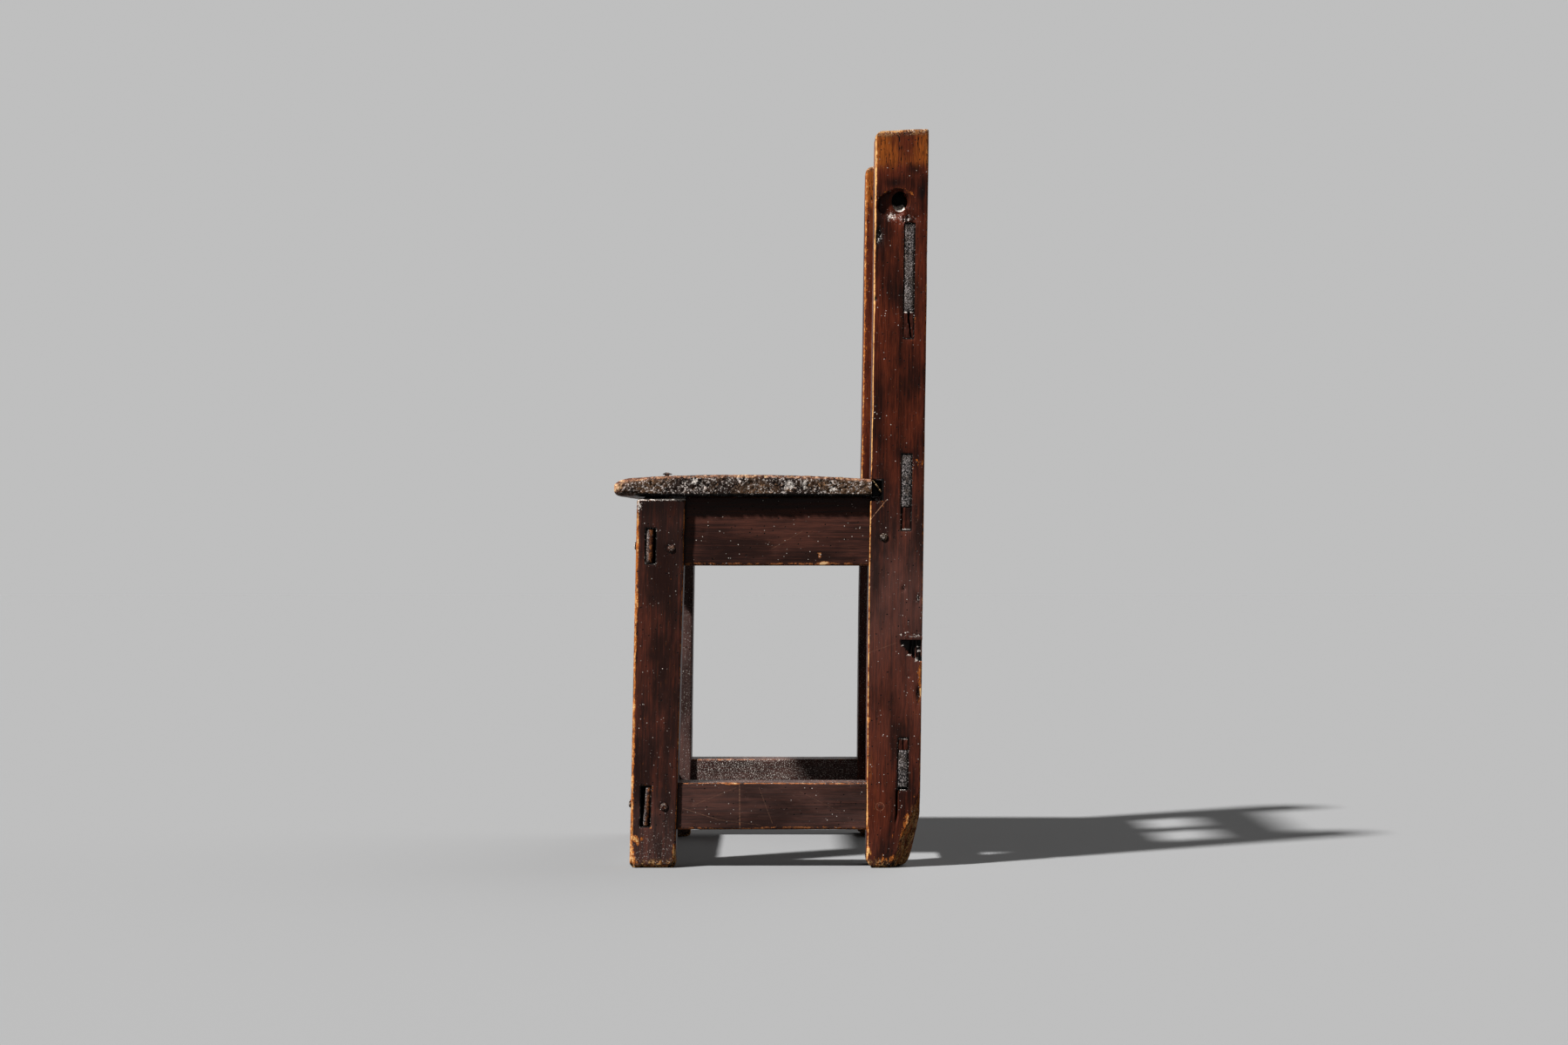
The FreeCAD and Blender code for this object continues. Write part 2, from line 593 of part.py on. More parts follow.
def back_splat():
    """Upright bar between the lower rail and the crest rail, worn along its long edges."""
    heights = (LOWER_RAIL_TOP, CREST_BOTTOM)
    near = splat_front()
    bar = leaning_block(post_front, (near, near + SPLAT_THICKNESS), heights,
                        -SPLAT_WIDTH / 2, SPLAT_WIDTH / 2)
    long_edges = [edge for edge in bar.Edges if edge.BoundBox.ZLength > EDGE_FLATNESS]
    return bar.makeFillet(ARRIS_RADIUS, long_edges).fuse(splat_tenon_bar(0)).removeSplitter()


def seat_board():
    """One board, crowned front to back, with a rounded nose and a broken rear edge."""
    tip_z = SEAT_BOTTOM + SEAT_NOSE_TIP_SHARE * SEAT_THICKNESS
    top_start = NOSE_Y + SEAT_NOSE_ROUND
    top_z = seat_top(top_start)
    low_start = NOSE_Y + SEAT_NOSE_UNDERCUT
    back_top = post_front(SEAT_TOP)
    back_end = post_front(SEAT_BOTTOM) + NOTCH_DEPTH - NOTCH_ROOM
    tip = Vector(0, NOSE_Y, tip_z)
    nose_top = Vector(0, top_start, top_z)
    nose_low = Vector(0, low_start, SEAT_BOTTOM)
    top_mid = Vector(0, NOSE_Y + NOSE_TOP_MID_SHARES[0] * SEAT_NOSE_ROUND,
                     tip_z + NOSE_TOP_MID_SHARES[1] * (top_z - tip_z))
    low_mid = Vector(0, NOSE_Y + NOSE_LOW_MID_SHARES[0] * SEAT_NOSE_UNDERCUT,
                     SEAT_BOTTOM + NOSE_LOW_MID_SHARES[1] * (tip_z - SEAT_BOTTOM))
    crown = Vector(0, -SEAT_CROWN_AHEAD, SEAT_TOP)
    rear_top = Vector(0, back_top, seat_top(back_top))
    rear_lip = Vector(0, back_end, SEAT_BOTTOM + SEAT_BACK_LIP)
    rear_low = Vector(0, back_end, SEAT_BOTTOM)
    outline = Part.Wire([
        Part.Arc(nose_low, low_mid, tip).toShape(),
        Part.Arc(tip, top_mid, nose_top).toShape(),
        Part.Arc(nose_top, crown, rear_top).toShape(),
        Part.LineSegment(rear_top, rear_lip).toShape(),
        Part.LineSegment(rear_lip, rear_low).toShape(),
        Part.LineSegment(rear_low, nose_low).toShape(),
    ])
    half = HALF_WIDTH + SEAT_SIDE
    board = across_prism(outline, -half, half)
    plan_clear = SEAT_CUT_SHARE * SEAT_CORNER_RADIUS
    plan_half = half + plan_clear
    plan_front = NOSE_Y - plan_clear
    plan_back = back_end + CUT_OVERRUN
    plan_low = SEAT_BOTTOM - CUT_OVERRUN
    plan = rounded_wire([
        (Vector(-plan_half, plan_front, plan_low), SEAT_CORNER_RADIUS),
        (Vector(plan_half, plan_front, plan_low), SEAT_CORNER_RADIUS),
        (Vector(plan_half, plan_back, plan_low), SEAT_EDGE_RADIUS),
        (Vector(-plan_half, plan_back, plan_low), SEAT_EDGE_RADIUS),
    ])
    section_clear = SEAT_CUT_SHARE * SEAT_EDGE_RADIUS
    section_half = half + section_clear
    section_top = SEAT_TOP + section_clear
    section = rounded_wire([
        (Vector(-section_half, plan_front, plan_low), SEAT_EDGE_RADIUS),
        (Vector(section_half, plan_front, plan_low), SEAT_EDGE_RADIUS),
        (Vector(section_half, plan_front, section_top), SEAT_EDGE_RADIUS),
        (Vector(-section_half, plan_front, section_top), SEAT_EDGE_RADIUS),
    ])
    board = board.common(Part.Face(plan).extrude(UP * (SEAT_THICKNESS + 2 * CUT_OVERRUN)))
    board = board.common(Part.Face(section).extrude(BACKWARD * (plan_back - plan_front)))
    return cut_all(board, both_sides(nail_holes))


side_rail_heights = (RAIL_BOTTOM, SEAT_BOTTOM)
stretcher_heights = (STRETCHER_RISE, STRETCHER_TOP)
rail_peg_holes = [peg_hole(*leg_side_pegs["seat_rail"]), peg_hole(*post_side_pegs["seat_rail"])]
stretcher_peg_holes = [peg_hole(*leg_side_pegs["stretcher"]), peg_hole(*post_side_pegs["stretcher"])]

left_seat_rail = side_rail(side_rail_x, SIDE_RAIL_THICKNESS, side_rail_heights)
left_seat_rail = left_seat_rail.fuse(side_tenon_bar(rail_bar_x, side_rail_tenon, 0))
left_seat_rail = cut_all(left_seat_rail.removeSplitter(), rail_peg_holes + nail_holes)
left_stretcher = side_rail(side_stretcher_x, SIDE_STRETCHER_THICKNESS, stretcher_heights)
left_stretcher = left_stretcher.fuse(side_tenon_bar(stretcher_bar_x, stretcher_tenon, 0))
left_stretcher = cut_all(left_stretcher.removeSplitter(), stretcher_peg_holes)
left_front_leg = front_leg()
plain_post = back_post()

pieces = {
    "left_front_leg": [left_front_leg],
    "right_front_leg": [mirrored(left_front_leg)],
    "left_back_post": [cut_all(plain_post, hanging_hole())],
    "right_back_post": [mirrored(plain_post)],
    "left_seat_rail": [left_seat_rail],
    "right_seat_rail": [mirrored(left_seat_rail)],
    "left_stretcher": [left_stretcher],
    "right_stretcher": [mirrored(left_stretcher)],
    "front_seat_rail": [front_rail(FRONT_RAIL_THICKNESS, side_rail_heights, front_rail_tenon,
                                   cross_holes(front_pegs["front_seat_rail"]))],
    "front_stretcher": [front_rail(FRONT_STRETCHER_THICKNESS, stretcher_heights, stretcher_tenon,
                                   cross_holes(front_pegs["front_stretcher"]))],
    "crest_rail": [back_rail(CREST_THICKNESS, (CREST_BOTTOM, CREST_TOP), crest_tenon,
                             cross_holes(back_pegs["crest_rail"]) + [splat_tenon_bar(FIT_GAP)])],
    "lower_back_rail": [back_rail(LOWER_RAIL_THICKNESS, (LOWER_RAIL_BOTTOM, LOWER_RAIL_TOP),
                                  lower_rail_tenon,
                                  cross_holes(back_pegs["lower_back_rail"])
                                  + [splat_tenon_bar(FIT_GAP)])],
    "rear_stretcher": [back_rail(REAR_STRETCHER_THICKNESS,
                                 (REAR_STRETCHER_RISE, REAR_STRETCHER_RISE + REAR_STRETCHER_HEIGHT),
                                 rear_tenon, cross_holes(back_pegs["rear_stretcher"]))],
    "back_splat": [back_splat()],
    "seat_board": [seat_board()],
    "seat_nails": both_sides([nail(place) for place in nail_places]),
}

# Pegs are grouped by the rail that they lock
for rail in ("seat_rail", "stretcher"):
    left_pegs = [peg(*leg_side_pegs[rail]), peg(*post_side_pegs[rail])]
    pieces["left_" + rail + "_pegs"] = left_pegs
    pieces["right_" + rail + "_pegs"] = [mirrored(each) for each in left_pegs]
for rail, pegs in list(front_pegs.items()) + list(back_pegs.items()):
    pieces[rail + "_pegs"] = both_sides([peg(*each) for each in pegs])

# Wedges beside the three tenons of each post
wedge_x = HALF_WIDTH - TENON_END_RECESS
crest_gap = (crest_tenon[0] - CREST_WEDGE_HEIGHT, crest_tenon[0])
lower_rail_gap = (lower_rail_tenon[0] - LOWER_RAIL_WEDGE_HEIGHT, lower_rail_tenon[0])
rear_gap = (rear_tenon[1], rear_tenon[1] + REAR_STRETCHER_WEDGE_HEIGHT)
pieces["crest_rail_wedges"] = both_sides([wedge(BACK_TENON, crest_gap, wedge_x, True)])
pieces["lower_back_rail_wedges"] = both_sides([wedge(BACK_TENON, lower_rail_gap, wedge_x, True)])
pieces["rear_stretcher_wedges"] = both_sides([wedge(BACK_TENON, rear_gap, wedge_x, False)])

os.makedirs("parts", exist_ok=True)
for name, solids in pieces.items():
    shape = solids[0] if len(solids) == 1 else Part.makeCompound(solids)
    shape.exportStep("parts/" + name + ".step")
    print(name, len(shape.Solids), "solids", round(shape.Volume), "mm3")
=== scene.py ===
# %% [markdown]
# # A worn child's chair
# This lesson dresses a small joined chair. Its frame is already fixed: every leg, rail, peg and nail
# has its size and place in the imported model. Here each piece is made again as a fine surface with
# the marks of a century of use, because worn wood lives from small uneven shapes that a plain solid
# does not have. We first load the frame and its record.

# %% Load the frame
import json
import math

import bmesh
import bpy
import numpy as np
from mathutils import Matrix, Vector


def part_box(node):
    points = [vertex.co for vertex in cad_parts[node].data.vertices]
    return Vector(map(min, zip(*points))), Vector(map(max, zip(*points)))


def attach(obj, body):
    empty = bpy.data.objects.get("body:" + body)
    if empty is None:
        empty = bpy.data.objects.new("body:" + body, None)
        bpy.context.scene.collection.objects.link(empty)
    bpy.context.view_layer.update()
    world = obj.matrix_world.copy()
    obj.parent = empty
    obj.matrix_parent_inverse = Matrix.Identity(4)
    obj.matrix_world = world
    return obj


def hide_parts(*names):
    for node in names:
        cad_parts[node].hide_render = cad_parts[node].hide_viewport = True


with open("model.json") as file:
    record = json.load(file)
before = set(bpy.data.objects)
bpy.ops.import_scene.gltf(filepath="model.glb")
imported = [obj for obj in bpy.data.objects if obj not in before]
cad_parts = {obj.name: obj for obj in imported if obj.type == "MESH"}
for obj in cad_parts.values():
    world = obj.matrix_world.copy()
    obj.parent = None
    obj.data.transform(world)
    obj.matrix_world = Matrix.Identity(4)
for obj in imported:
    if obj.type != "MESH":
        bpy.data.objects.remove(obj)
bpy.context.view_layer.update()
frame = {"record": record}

MM = 0.001                     # shapes are worked out in millimetres and stored in metres

# %% [markdown]
# ## Camera
# The chair is seen square from the sitter's left, from about the height of the seat rail. A long lens
# far away keeps the far legs almost as large as the near ones. A level camera with no shift is enough,
# because the chair's own rake gives the lean that we see.

# %% Camera
CAMERA_PLACE = (2.578, 0.0099, 0.271)
LENS_MM = 71.4
SENSOR_MM = 36.0
camera_data = bpy.data.cameras.new("side_camera")
camera_data.lens = LENS_MM
camera_data.sensor_width = SENSOR_MM
camera = bpy.data.objects.new("side_camera", camera_data)
camera.location = CAMERA_PLACE
camera.rotation_euler = (math.pi / 2, 0, math.pi / 2)
bpy.context.scene.collection.objects.link(camera)
bpy.context.scene.camera = camera
bpy.context.scene.view_settings.view_transform = "Standard"
print("camera looks along -X from", CAMERA_PLACE)

# %% [markdown]
# ## Studio light
# A key light stands high, ahead of the chair and on our side of it. It rakes over the side faces, so
# dents and worn edges show, and throws the shadow back. A wide weak light from behind keeps the other
# sides readable, and a dim sky fills the rest. Lamps at a finite distance would make the floor uneven,
# so both are suns with a broad disc. A sun of strength pi gives a white card that faces it a brightness
# of one, so a level is written as a share of that.

# %% Lamps
KEY_TOWARDS = (0.352, -0.527, 0.774)
KEY_LEVEL = 2.25
KEY_SPREAD = 4.0
BACK_TOWARDS = (-0.50, 0.62, 0.60)
BACK_LEVEL = 0.42
BACK_SPREAD = 70.0
SKY_LEVEL = 0.055


def sun(name, towards, level, spread):
    """A sun lamp that shines from the given side, with the brightness it gives a facing white card."""
    data = bpy.data.lights.new(name, "SUN")
    data.energy = level * math.pi
    data.angle = math.radians(spread)
    lamp = bpy.data.objects.new(name, data)
    lamp.rotation_euler = Vector(towards).to_track_quat("Z", "Y").to_euler()
    bpy.context.scene.collection.objects.link(lamp)


sun("key", KEY_TOWARDS, KEY_LEVEL, KEY_SPREAD)
sun("back_light", BACK_TOWARDS, BACK_LEVEL, BACK_SPREAD)
print("key level", KEY_LEVEL, "and back light level", BACK_LEVEL)

# %% [markdown]
# ## Floor and backdrop
# The floor is a plain pale plane, and beyond it the world has the same tone, so no horizon shows. The
# eye and mirror-like reflections see the pale tone. Light that bounces off the floor on to the chair
# is kept weaker, because the wood is dark and its shadows are deep.

# %% World and floor
BACKDROP_TONE = 0.52
FLOOR_HALF = 9.0
FLOOR_BOUNCE = 0.075
key_rise = KEY_TOWARDS[2] / math.hypot(*KEY_TOWARDS)
back_rise = BACK_TOWARDS[2] / math.hypot(*BACK_TOWARDS)
floor_light = KEY_LEVEL * key_rise + BACK_LEVEL * back_rise + SKY_LEVEL


def seen_directly(tree):
    """1 for rays of the eye, of reflections and through glass, and 0 for the rays that carry light."""
    rays = tree.nodes.new("ShaderNodeLightPath")
    total = rays.outputs["Is Camera Ray"]
    for other in ("Is Glossy Ray", "Is Transmission Ray"):
        node = tree.nodes.new("ShaderNodeMath")
        node.operation = "MAXIMUM"
        tree.links.new(total, node.inputs[0])
        tree.links.new(rays.outputs[other], node.inputs[1])
        total = node.outputs[0]
    return total


def two_tones(tree, lit, seen):
    """A grey of one level for the rays that carry light and another for the eye and reflections."""
    pick = tree.nodes.new("ShaderNodeMix")
    pick.data_type = "RGBA"
    pick.inputs[6].default_value = (lit, lit, lit, 1.0)
    pick.inputs[7].default_value = (seen, seen, seen, 1.0)
    tree.links.new(seen_directly(tree), pick.inputs[0])
    return pick.outputs[2]


world = bpy.data.worlds.new("studio")
world.use_nodes = True
bpy.context.scene.world = world
sky = world.node_tree
sky.links.new(two_tones(sky, SKY_LEVEL, BACKDROP_TONE), sky.nodes["Background"].inputs["Color"])

floor_mesh = bpy.data.meshes.new("floor")
floor_square = np.array([[-1, -1, 0], [1, -1, 0], [1, 1, 0], [-1, 1, 0]]) * FLOOR_HALF
floor_mesh.from_pydata(floor_square.tolist(), [], [(0, 1, 2, 3)])
floor = bpy.data.objects.new("floor", floor_mesh)
bpy.context.scene.collection.objects.link(floor)
floor_paint = bpy.data.materials.new("floor_paint")
floor_paint.use_nodes = True
paint = floor_paint.node_tree
paint_shader = paint.nodes["Principled BSDF"]
paint_shader.inputs["Roughness"].default_value = 1.0
paint_shader.inputs["Specular IOR Level"].default_value = 0.0
floor_tone = two_tones(paint, FLOOR_BOUNCE, BACKDROP_TONE / floor_light)
paint.links.new(floor_tone, paint_shader.inputs["Base Color"])
floor_mesh.materials.append(floor_paint)
print("floor", 2 * FLOOR_HALF, "m square, paint", round(BACKDROP_TONE / floor_light, 3))

# %% [markdown]
# ## Uneven by rule
# Hand work and wear are uneven, but the lesson must give the same chair each time. So unevenness comes
# from a noise that is a fixed function of the place: whole-number cells get a number each, by mixing
# their indices, and between the cells the numbers are blended smoothly. Added up at finer and finer
# scales it looks like worn wood. Stretched along one axis it looks like grain.

# %% Noise
HASH_FACTORS = (73856093, 19349663, 83492791)
SEED_FACTOR = 2654435761
MIX_FACTOR = 1274126177
LOW_BITS = 0xFFFFF


def cell_number(cells, seed):
    """One number from 0 to 1 per cell: indices times large odd factors, mixed by exclusive or."""
    first, second, third = (cells[:, axis] * factor for axis, factor in enumerate(HASH_FACTORS))
    mixed = first ^ second ^ third ^ (seed * SEED_FACTOR)
    mixed = (mixed ^ (mixed >> 13)) * MIX_FACTOR
    return ((mixed ^ (mixed >> 16)) & LOW_BITS) / LOW_BITS


def smooth_noise(points, seed):
    """Value noise from -1 to 1: the eight corners of a cell, blended by 3t^2 - 2t^3 along each axis."""
    base = np.floor(points)
    cells = base.astype(np.int64)
    part = points - base
    ease = part * part * (3 - 2 * part)
    total = np.zeros(len(points))
    for corner in np.ndindex(2, 2, 2):
        weight = np.prod(np.where(corner, ease, 1 - ease), axis=1)
        total += weight * cell_number(cells + corner, seed)
    return 2 * total - 1


def noise(points, size, seed, octaves=3):
    """Sum of noises, each half as large and half as strong as the one before; size is in millimetres."""
    scaled = points / np.asarray(size, float)
    total = sum(0.5 ** step * smooth_noise(scaled * 2 ** step, seed + 101 * step) for step in range(octaves))
    return total / (2 - 0.5 ** (octaves - 1))


def step_up(value, low, high):
    """Smooth step from 0 at low to 1 at high."""
    part = np.clip((value - low) / (high - low), 0, 1)
    return part * part * (3 - 2 * part)


def hump(value, centre, width):
    """Bell curve: 1 at the centre, and e to the minus squared distance in widths."""
    return np.exp(-((value - centre) / width) ** 2)


print("a bell curve one width out:", round(float(hump(1.0, 0.0, 1.0)), 3))

# %% [markdown]
# ## A block of wood as a grid
# Nearly every piece of this chair began as a squared block. We could round a cube with a modifier, but
# then the wear would be the same all along. Instead the six sides of the block are grids that share
# their border points. Slots that go right through are left out of two opposite grids and get four
# walls, and a pocket is a slot that stops at a floor. Grid lines stand closer near the edges, where
# wear shows most.

# %% Grid lines and box surface
EDGE_LINES = (0.5, 1.1, 1.9, 2.9)   # extra grid lines close to each edge
PAIR_GAP = 0.12                     # between the two lines that make a steep step


def grid_lines(low, high, step, singles=(), pairs=(), edges=EDGE_LINES):
    """Grid lines about a step apart, with one at each single, two at each pair and more near the ends."""
    stops = [low, high, *singles]
    stops += [low + edge for edge in edges] + [high - edge for edge in edges]
    stops += [place + side * PAIR_GAP / 2 for place in pairs for side in (-1, 1)]
    stops = np.unique(np.round(stops, 4))
    counts = np.maximum(1, np.round(np.diff(stops) / step)).astype(int)
    runs = [np.linspace(a, b, n, endpoint=False) for a, b, n in zip(stops, stops[1:], counts)]
    return np.append(np.concatenate(runs), high)


def sheet(index, flip=False):
    """Quads of a grid of point numbers, turned over if asked."""
    quads = np.stack([index[:-1, :-1], index[1:, :-1], index[1:, 1:], index[:-1, 1:]], axis=-1)
    return (quads[..., ::-1] if flip else quads).reshape(-1, 4)


def box_surface(xs, ys, zs, slots=(), pockets=()):
    """Closed surface of a block on its grid lines, with slots (y, y, z, z) cut in along X.

    A point's number is its place in the full lattice; border points are shared by number. A slot's
    wall is the sheet that its border ring sweeps along X. A pocket is (slot, x of its floor).
    """
    index = np.arange(len(xs) * len(ys) * len(zs)).reshape(len(xs), len(ys), len(zs))
    inner_skin = np.ones((len(ys) - 1, len(zs) - 1), bool)
    outer_skin = inner_skin.copy()
    sheets = []
    for (y_low, y_high, z_low, z_high), floor_x in [(slot, xs[0]) for slot in slots] + list(pockets):
        i0 = int(np.abs(xs - floor_x).argmin())
        j0, j1 = (int(np.abs(ys - y).argmin()) for y in (y_low, y_high))
        k0, k1 = (int(np.abs(zs - z).argmin()) for z in (z_low, z_high))
        outer_skin[j0:j1, k0:k1] = False
        if i0 == 0:
            inner_skin[j0:j1, k0:k1] = False
        else:
            sheets.append(sheet(index[i0, j0:j1 + 1, k0:k1 + 1]))
        wide, tall = j1 - j0, k1 - k0
        ring_j = np.r_[np.arange(j0, j1), np.full(tall, j1), np.arange(j1, j0, -1), np.full(tall, j0), j0]
        ring_k = np.r_[np.full(wide, k0), np.arange(k0, k1), np.full(wide, k1), np.arange(k1, k0, -1), k0]
        sheets.append(sheet(index[i0:, ring_j, ring_k]))
    sheets += [sheet(index[0], True)[inner_skin.ravel()], sheet(index[-1])[outer_skin.ravel()]]
    sheets += [sheet(index[:, 0]), sheet(index[:, -1], True)]
    sheets += [sheet(index[:, :, 0], True), sheet(index[:, :, -1])]
    used, quads = np.unique(np.concatenate(sheets), return_inverse=True)
    i, j, k = np.unravel_index(used, index.shape)
    return np.column_stack([xs[i], ys[j], zs[k]]), quads.reshape(-1, 4)


print("grid lines over 10 mm, 2 mm apart:", len(grid_lines(0, 10, 2)))

# %% [markdown]
# ## Working the wood
# A small class holds one piece while it is worked: its points, the way each point faces, and the
# finishes that the materials will read, each from 0 to 1. Wear is where stain is rubbed away,
# grime is where dirt sits and also painted shade in the hole, on the dish wall, in the seat
# notch, along the seat's lower edge and on the rails under the seat, end is end grain, fleck is
# pale crumbs and torn fibre and also painted highlights and glints, film is a veil of old dust, and tone is
# lighter or darker stain. Another record, grain, is the place in the block with the way of the grain last,
# so that one material can follow the grain of every piece.

# %% Timber
FINISHES = ("wear", "grime", "end", "fleck", "film", "tone")
FAR = 1e6
TINY = 1e-6
PLANING = 0.25                 # depth of the marks of the plane
FIELD_GAP = 1000               # between the noise of two pieces


class Timber:
    """One piece of wood in its own square block, in millimetres."""

    def __init__(self, lines, along, seed, slots=(), pockets=(), endless=()):
        xs, ys, zs = lines
        self.points, self.quads = box_surface(xs, ys, zs, slots, pockets)
        self.square = self.points.copy()
        self.seed = seed
        self.draws = np.random.default_rng(seed)
        self.low = np.array([xs[0], ys[0], zs[0]])
        self.high = np.array([xs[-1], ys[-1], zs[-1]])
        inside = (self.points > self.low + TINY) & (self.points < self.high - TINY)
        self.wall = inside.all(axis=1)
        self.low[list(endless)] -= FAR
        self.high[list(endless)] += FAR
        self.grain = np.roll(self.square, 2 - along, axis=1)
        gaps = np.sort(np.column_stack([self.points - self.low, self.high - self.points]), axis=1)
        self.arris = gaps[:, 1]
        self.outward = np.zeros_like(self.points)
        self.finish = {name: np.zeros(len(self.points)) for name in FINISHES}
        self.fields = {}

    def wander(self, size, offset, octaves=3):
        """Noise over this piece, along its grain; each field is kept, because many marks share one."""
        key = (size, offset, octaves)
        if key not in self.fields:
            place = self.grain + FIELD_GAP * (self.seed % 97)
            self.fields[key] = noise(place, size, self.seed + offset, octaves)
        return self.fields[key]

    def ease(self, radius):
        """Round the edges: clamp each point into a block smaller by the radius, then push it back out.

        Points on the walls of slots stay, and face along X the more the nearer they are to a mouth.
        """
        radius = np.broadcast_to(np.asarray(radius, float).reshape(len(np.atleast_1d(radius)), -1),
                                 self.points.shape)
        inner = np.clip(self.points, self.low + radius, self.high - radius)
        reach = (self.points - inner) / radius
        length = np.linalg.norm(reach, axis=1, keepdims=True)
        self.outward = reach / np.maximum(length, TINY)
        moved = (length > TINY) & ~self.wall[:, None]
        self.points = np.where(moved, inner + radius * self.outward, self.points)
        middle = (self.low[0] + self.high[0]) / 2
        self.outward[self.wall] = 0
        self.outward[self.wall, 0] = ((self.square[:, 0] - middle) / (self.high[0] - middle))[self.wall]

    def press(self, depth):
        """Move points inward by a depth, which may be negative."""
        self.points = self.points - self.outward * np.asarray(depth)[:, None]

    def plane(self, amount):
        """Hand planing and drying: long soft waves and fine raised ridges along the grain."""
        self.press(amount * (0.9 * self.wander((16, 16, 60), 1) + 0.35 * self.wander((2.2, 2.2, 30), 2, 2)))

    def dress(self, radius, wear, reach):
        """First work on a rail: edges eased unevenly, faces planed and edges rubbed; it has no slots."""
        self.wall[:] = False
        self.ease(np.maximum(0.6, radius * (1 + 0.5 * self.wander((10, 10, 22), 3))))
        self.plane(PLANING)
        self.rub(wear, reach)

    def clamp(self, where, limits):
        """Clamp the points of a tongue into its section, given as {axis: (low, high)}."""
        for axis, (low, high) in limits.items():
            kept = np.clip(self.points[:, axis], low, high)
            self.points[:, axis] = np.where(where, kept, self.points[:, axis])

    def near(self, centre, size):
        """Squared distance from a centre in units of the size along each axis, on the square block."""
        return (((self.square - np.asarray(centre)) / np.asarray(size)) ** 2).sum(axis=1)

    def spot(self, name, amount, centre, size):
        """A soft round mark of one finish, e to the minus squared distance."""
        self.mark(name, amount * np.exp(-self.near(centre, size)))

    def dent(self, centre, size, depth, rough, fleck, grime):
        """A hollow with a soft rim, e to the minus squared distance, roughened by fine noise."""
        hollow = np.exp(-self.near(centre, size))
        torn = 1 + rough * self.wander((1.6, 1.6, 5), 31, 2)
        self.press(depth * hollow * torn)
        self.mark("grime", grime * hollow * (1 + 0.8 * self.wander((1.8, 1.8, 4), 32, 2)))
        self.mark("fleck", fleck * hollow)

    def bruise(self, count, depth):
        """Small dents from knocks, scattered over the whole surface."""
        for place in self.draws.choice(len(self.square), count, replace=False):
            size = self.draws.uniform(1.2, 3.6)
            self.dent(self.square[place], (size, size, size * self.draws.uniform(0.7, 2.2)),
                      depth * self.draws.uniform(0.5, 1.2), 0.4, 0.2, 0.25)

    def chip(self, centre, towards, reach, rough, bare):
        """Break an edge away: points beyond a rough plane are pressed back to it near the centre."""
        towards = np.asarray(towards, float) / np.linalg.norm(towards)
        height = (self.square - centre) @ towards + rough * self.wander((2.5, 2.5, 7), 41, 2)
        fade = step_up(1.3 - np.sqrt(self.near(centre, reach)), 0, 0.5)
        cut = np.maximum(height, 0) * fade
        self.points = self.points - cut[:, None] * towards
        self.mark("wear", bare * step_up(cut, 0.05, 0.5))

    def nick_edges(self, count, across, around, sizes, bare):
        """Chips down the four long edges of an upright: across and around give the share on the outer
        and the front edges."""
        width, depth, height = self.high
        for place in self.draws.uniform(0.03, 0.97, count) * height:
            outer = self.draws.random() < across
            front = self.draws.random() < around
            corner = (width * outer, depth * (not front), place)
            self.chip(corner, (1 if outer else -1, -1 if front else 1, 0),
                      (2.2, 2.2, self.draws.uniform(*sizes)), 0.6, bare)

    def mark(self, name, amount):
        """Raise a finish to at least this amount."""
        self.finish[name] = np.maximum(self.finish[name], np.clip(amount, 0, 1))

    def bare_patches(self, outer, patches):
        """Ragged bare patches on the outer face: wear inside an ellipsoid whose border wanders.

        Each patch is (y, z, size inward, size across, size up, amount).
        """
        ragged = 1.1 * self.wander((3.0, 3.0, 9), 33, 2)
        for y, z, deep, wide, tall, amount in patches:
            border = 1.1 - np.sqrt(self.near((outer, y, z), (deep, wide, tall))) + ragged
            self.mark("wear", amount * step_up(border, 0, 0.45))

    def rub(self, strength, reach):
        """Wear along the edges: full to half of a reach that wanders, and gone at the whole of it."""
        width = reach * np.maximum(0.15, 1 + 0.9 * self.wander((9, 9, 24), 5))
        self.mark("wear", strength * step_up(1 - self.arris / width, 0, 0.5))

    def set_on_side(self, side, inner_x, shift):
        """Set the piece beside its side of the chair, each point moved along Y, and turn it for the right."""
        x, y, z = self.points.T
        self.points = np.column_stack([side * (inner_x + x), shift(y, z), z])
        if side < 0:
            self.quads = self.quads[:, ::-1]


print("finishes:", ", ".join(FINISHES))

# %% [markdown]
# ## From surface to piece
# A finished surface becomes a mesh in one go: whole arrays go into the mesh with foreach_set, points
# that fell together are merged, and edges sharper than about forty degrees stay crisp. Every piece
# stands for a CAD node, rides on the chair and names the slot of its finish.

# %% Mesh maker
SHARP_DEGREES = 42
MERGE_DISTANCE = 2e-6
GRAIN_GAP = 300.0              # between the grain records of two pieces
piece_count = 0


def grain_shift(seed):
    """How far a piece's grain record is set apart from those of others, so that no two look alike."""
    return GRAIN_GAP * (seed % 31)


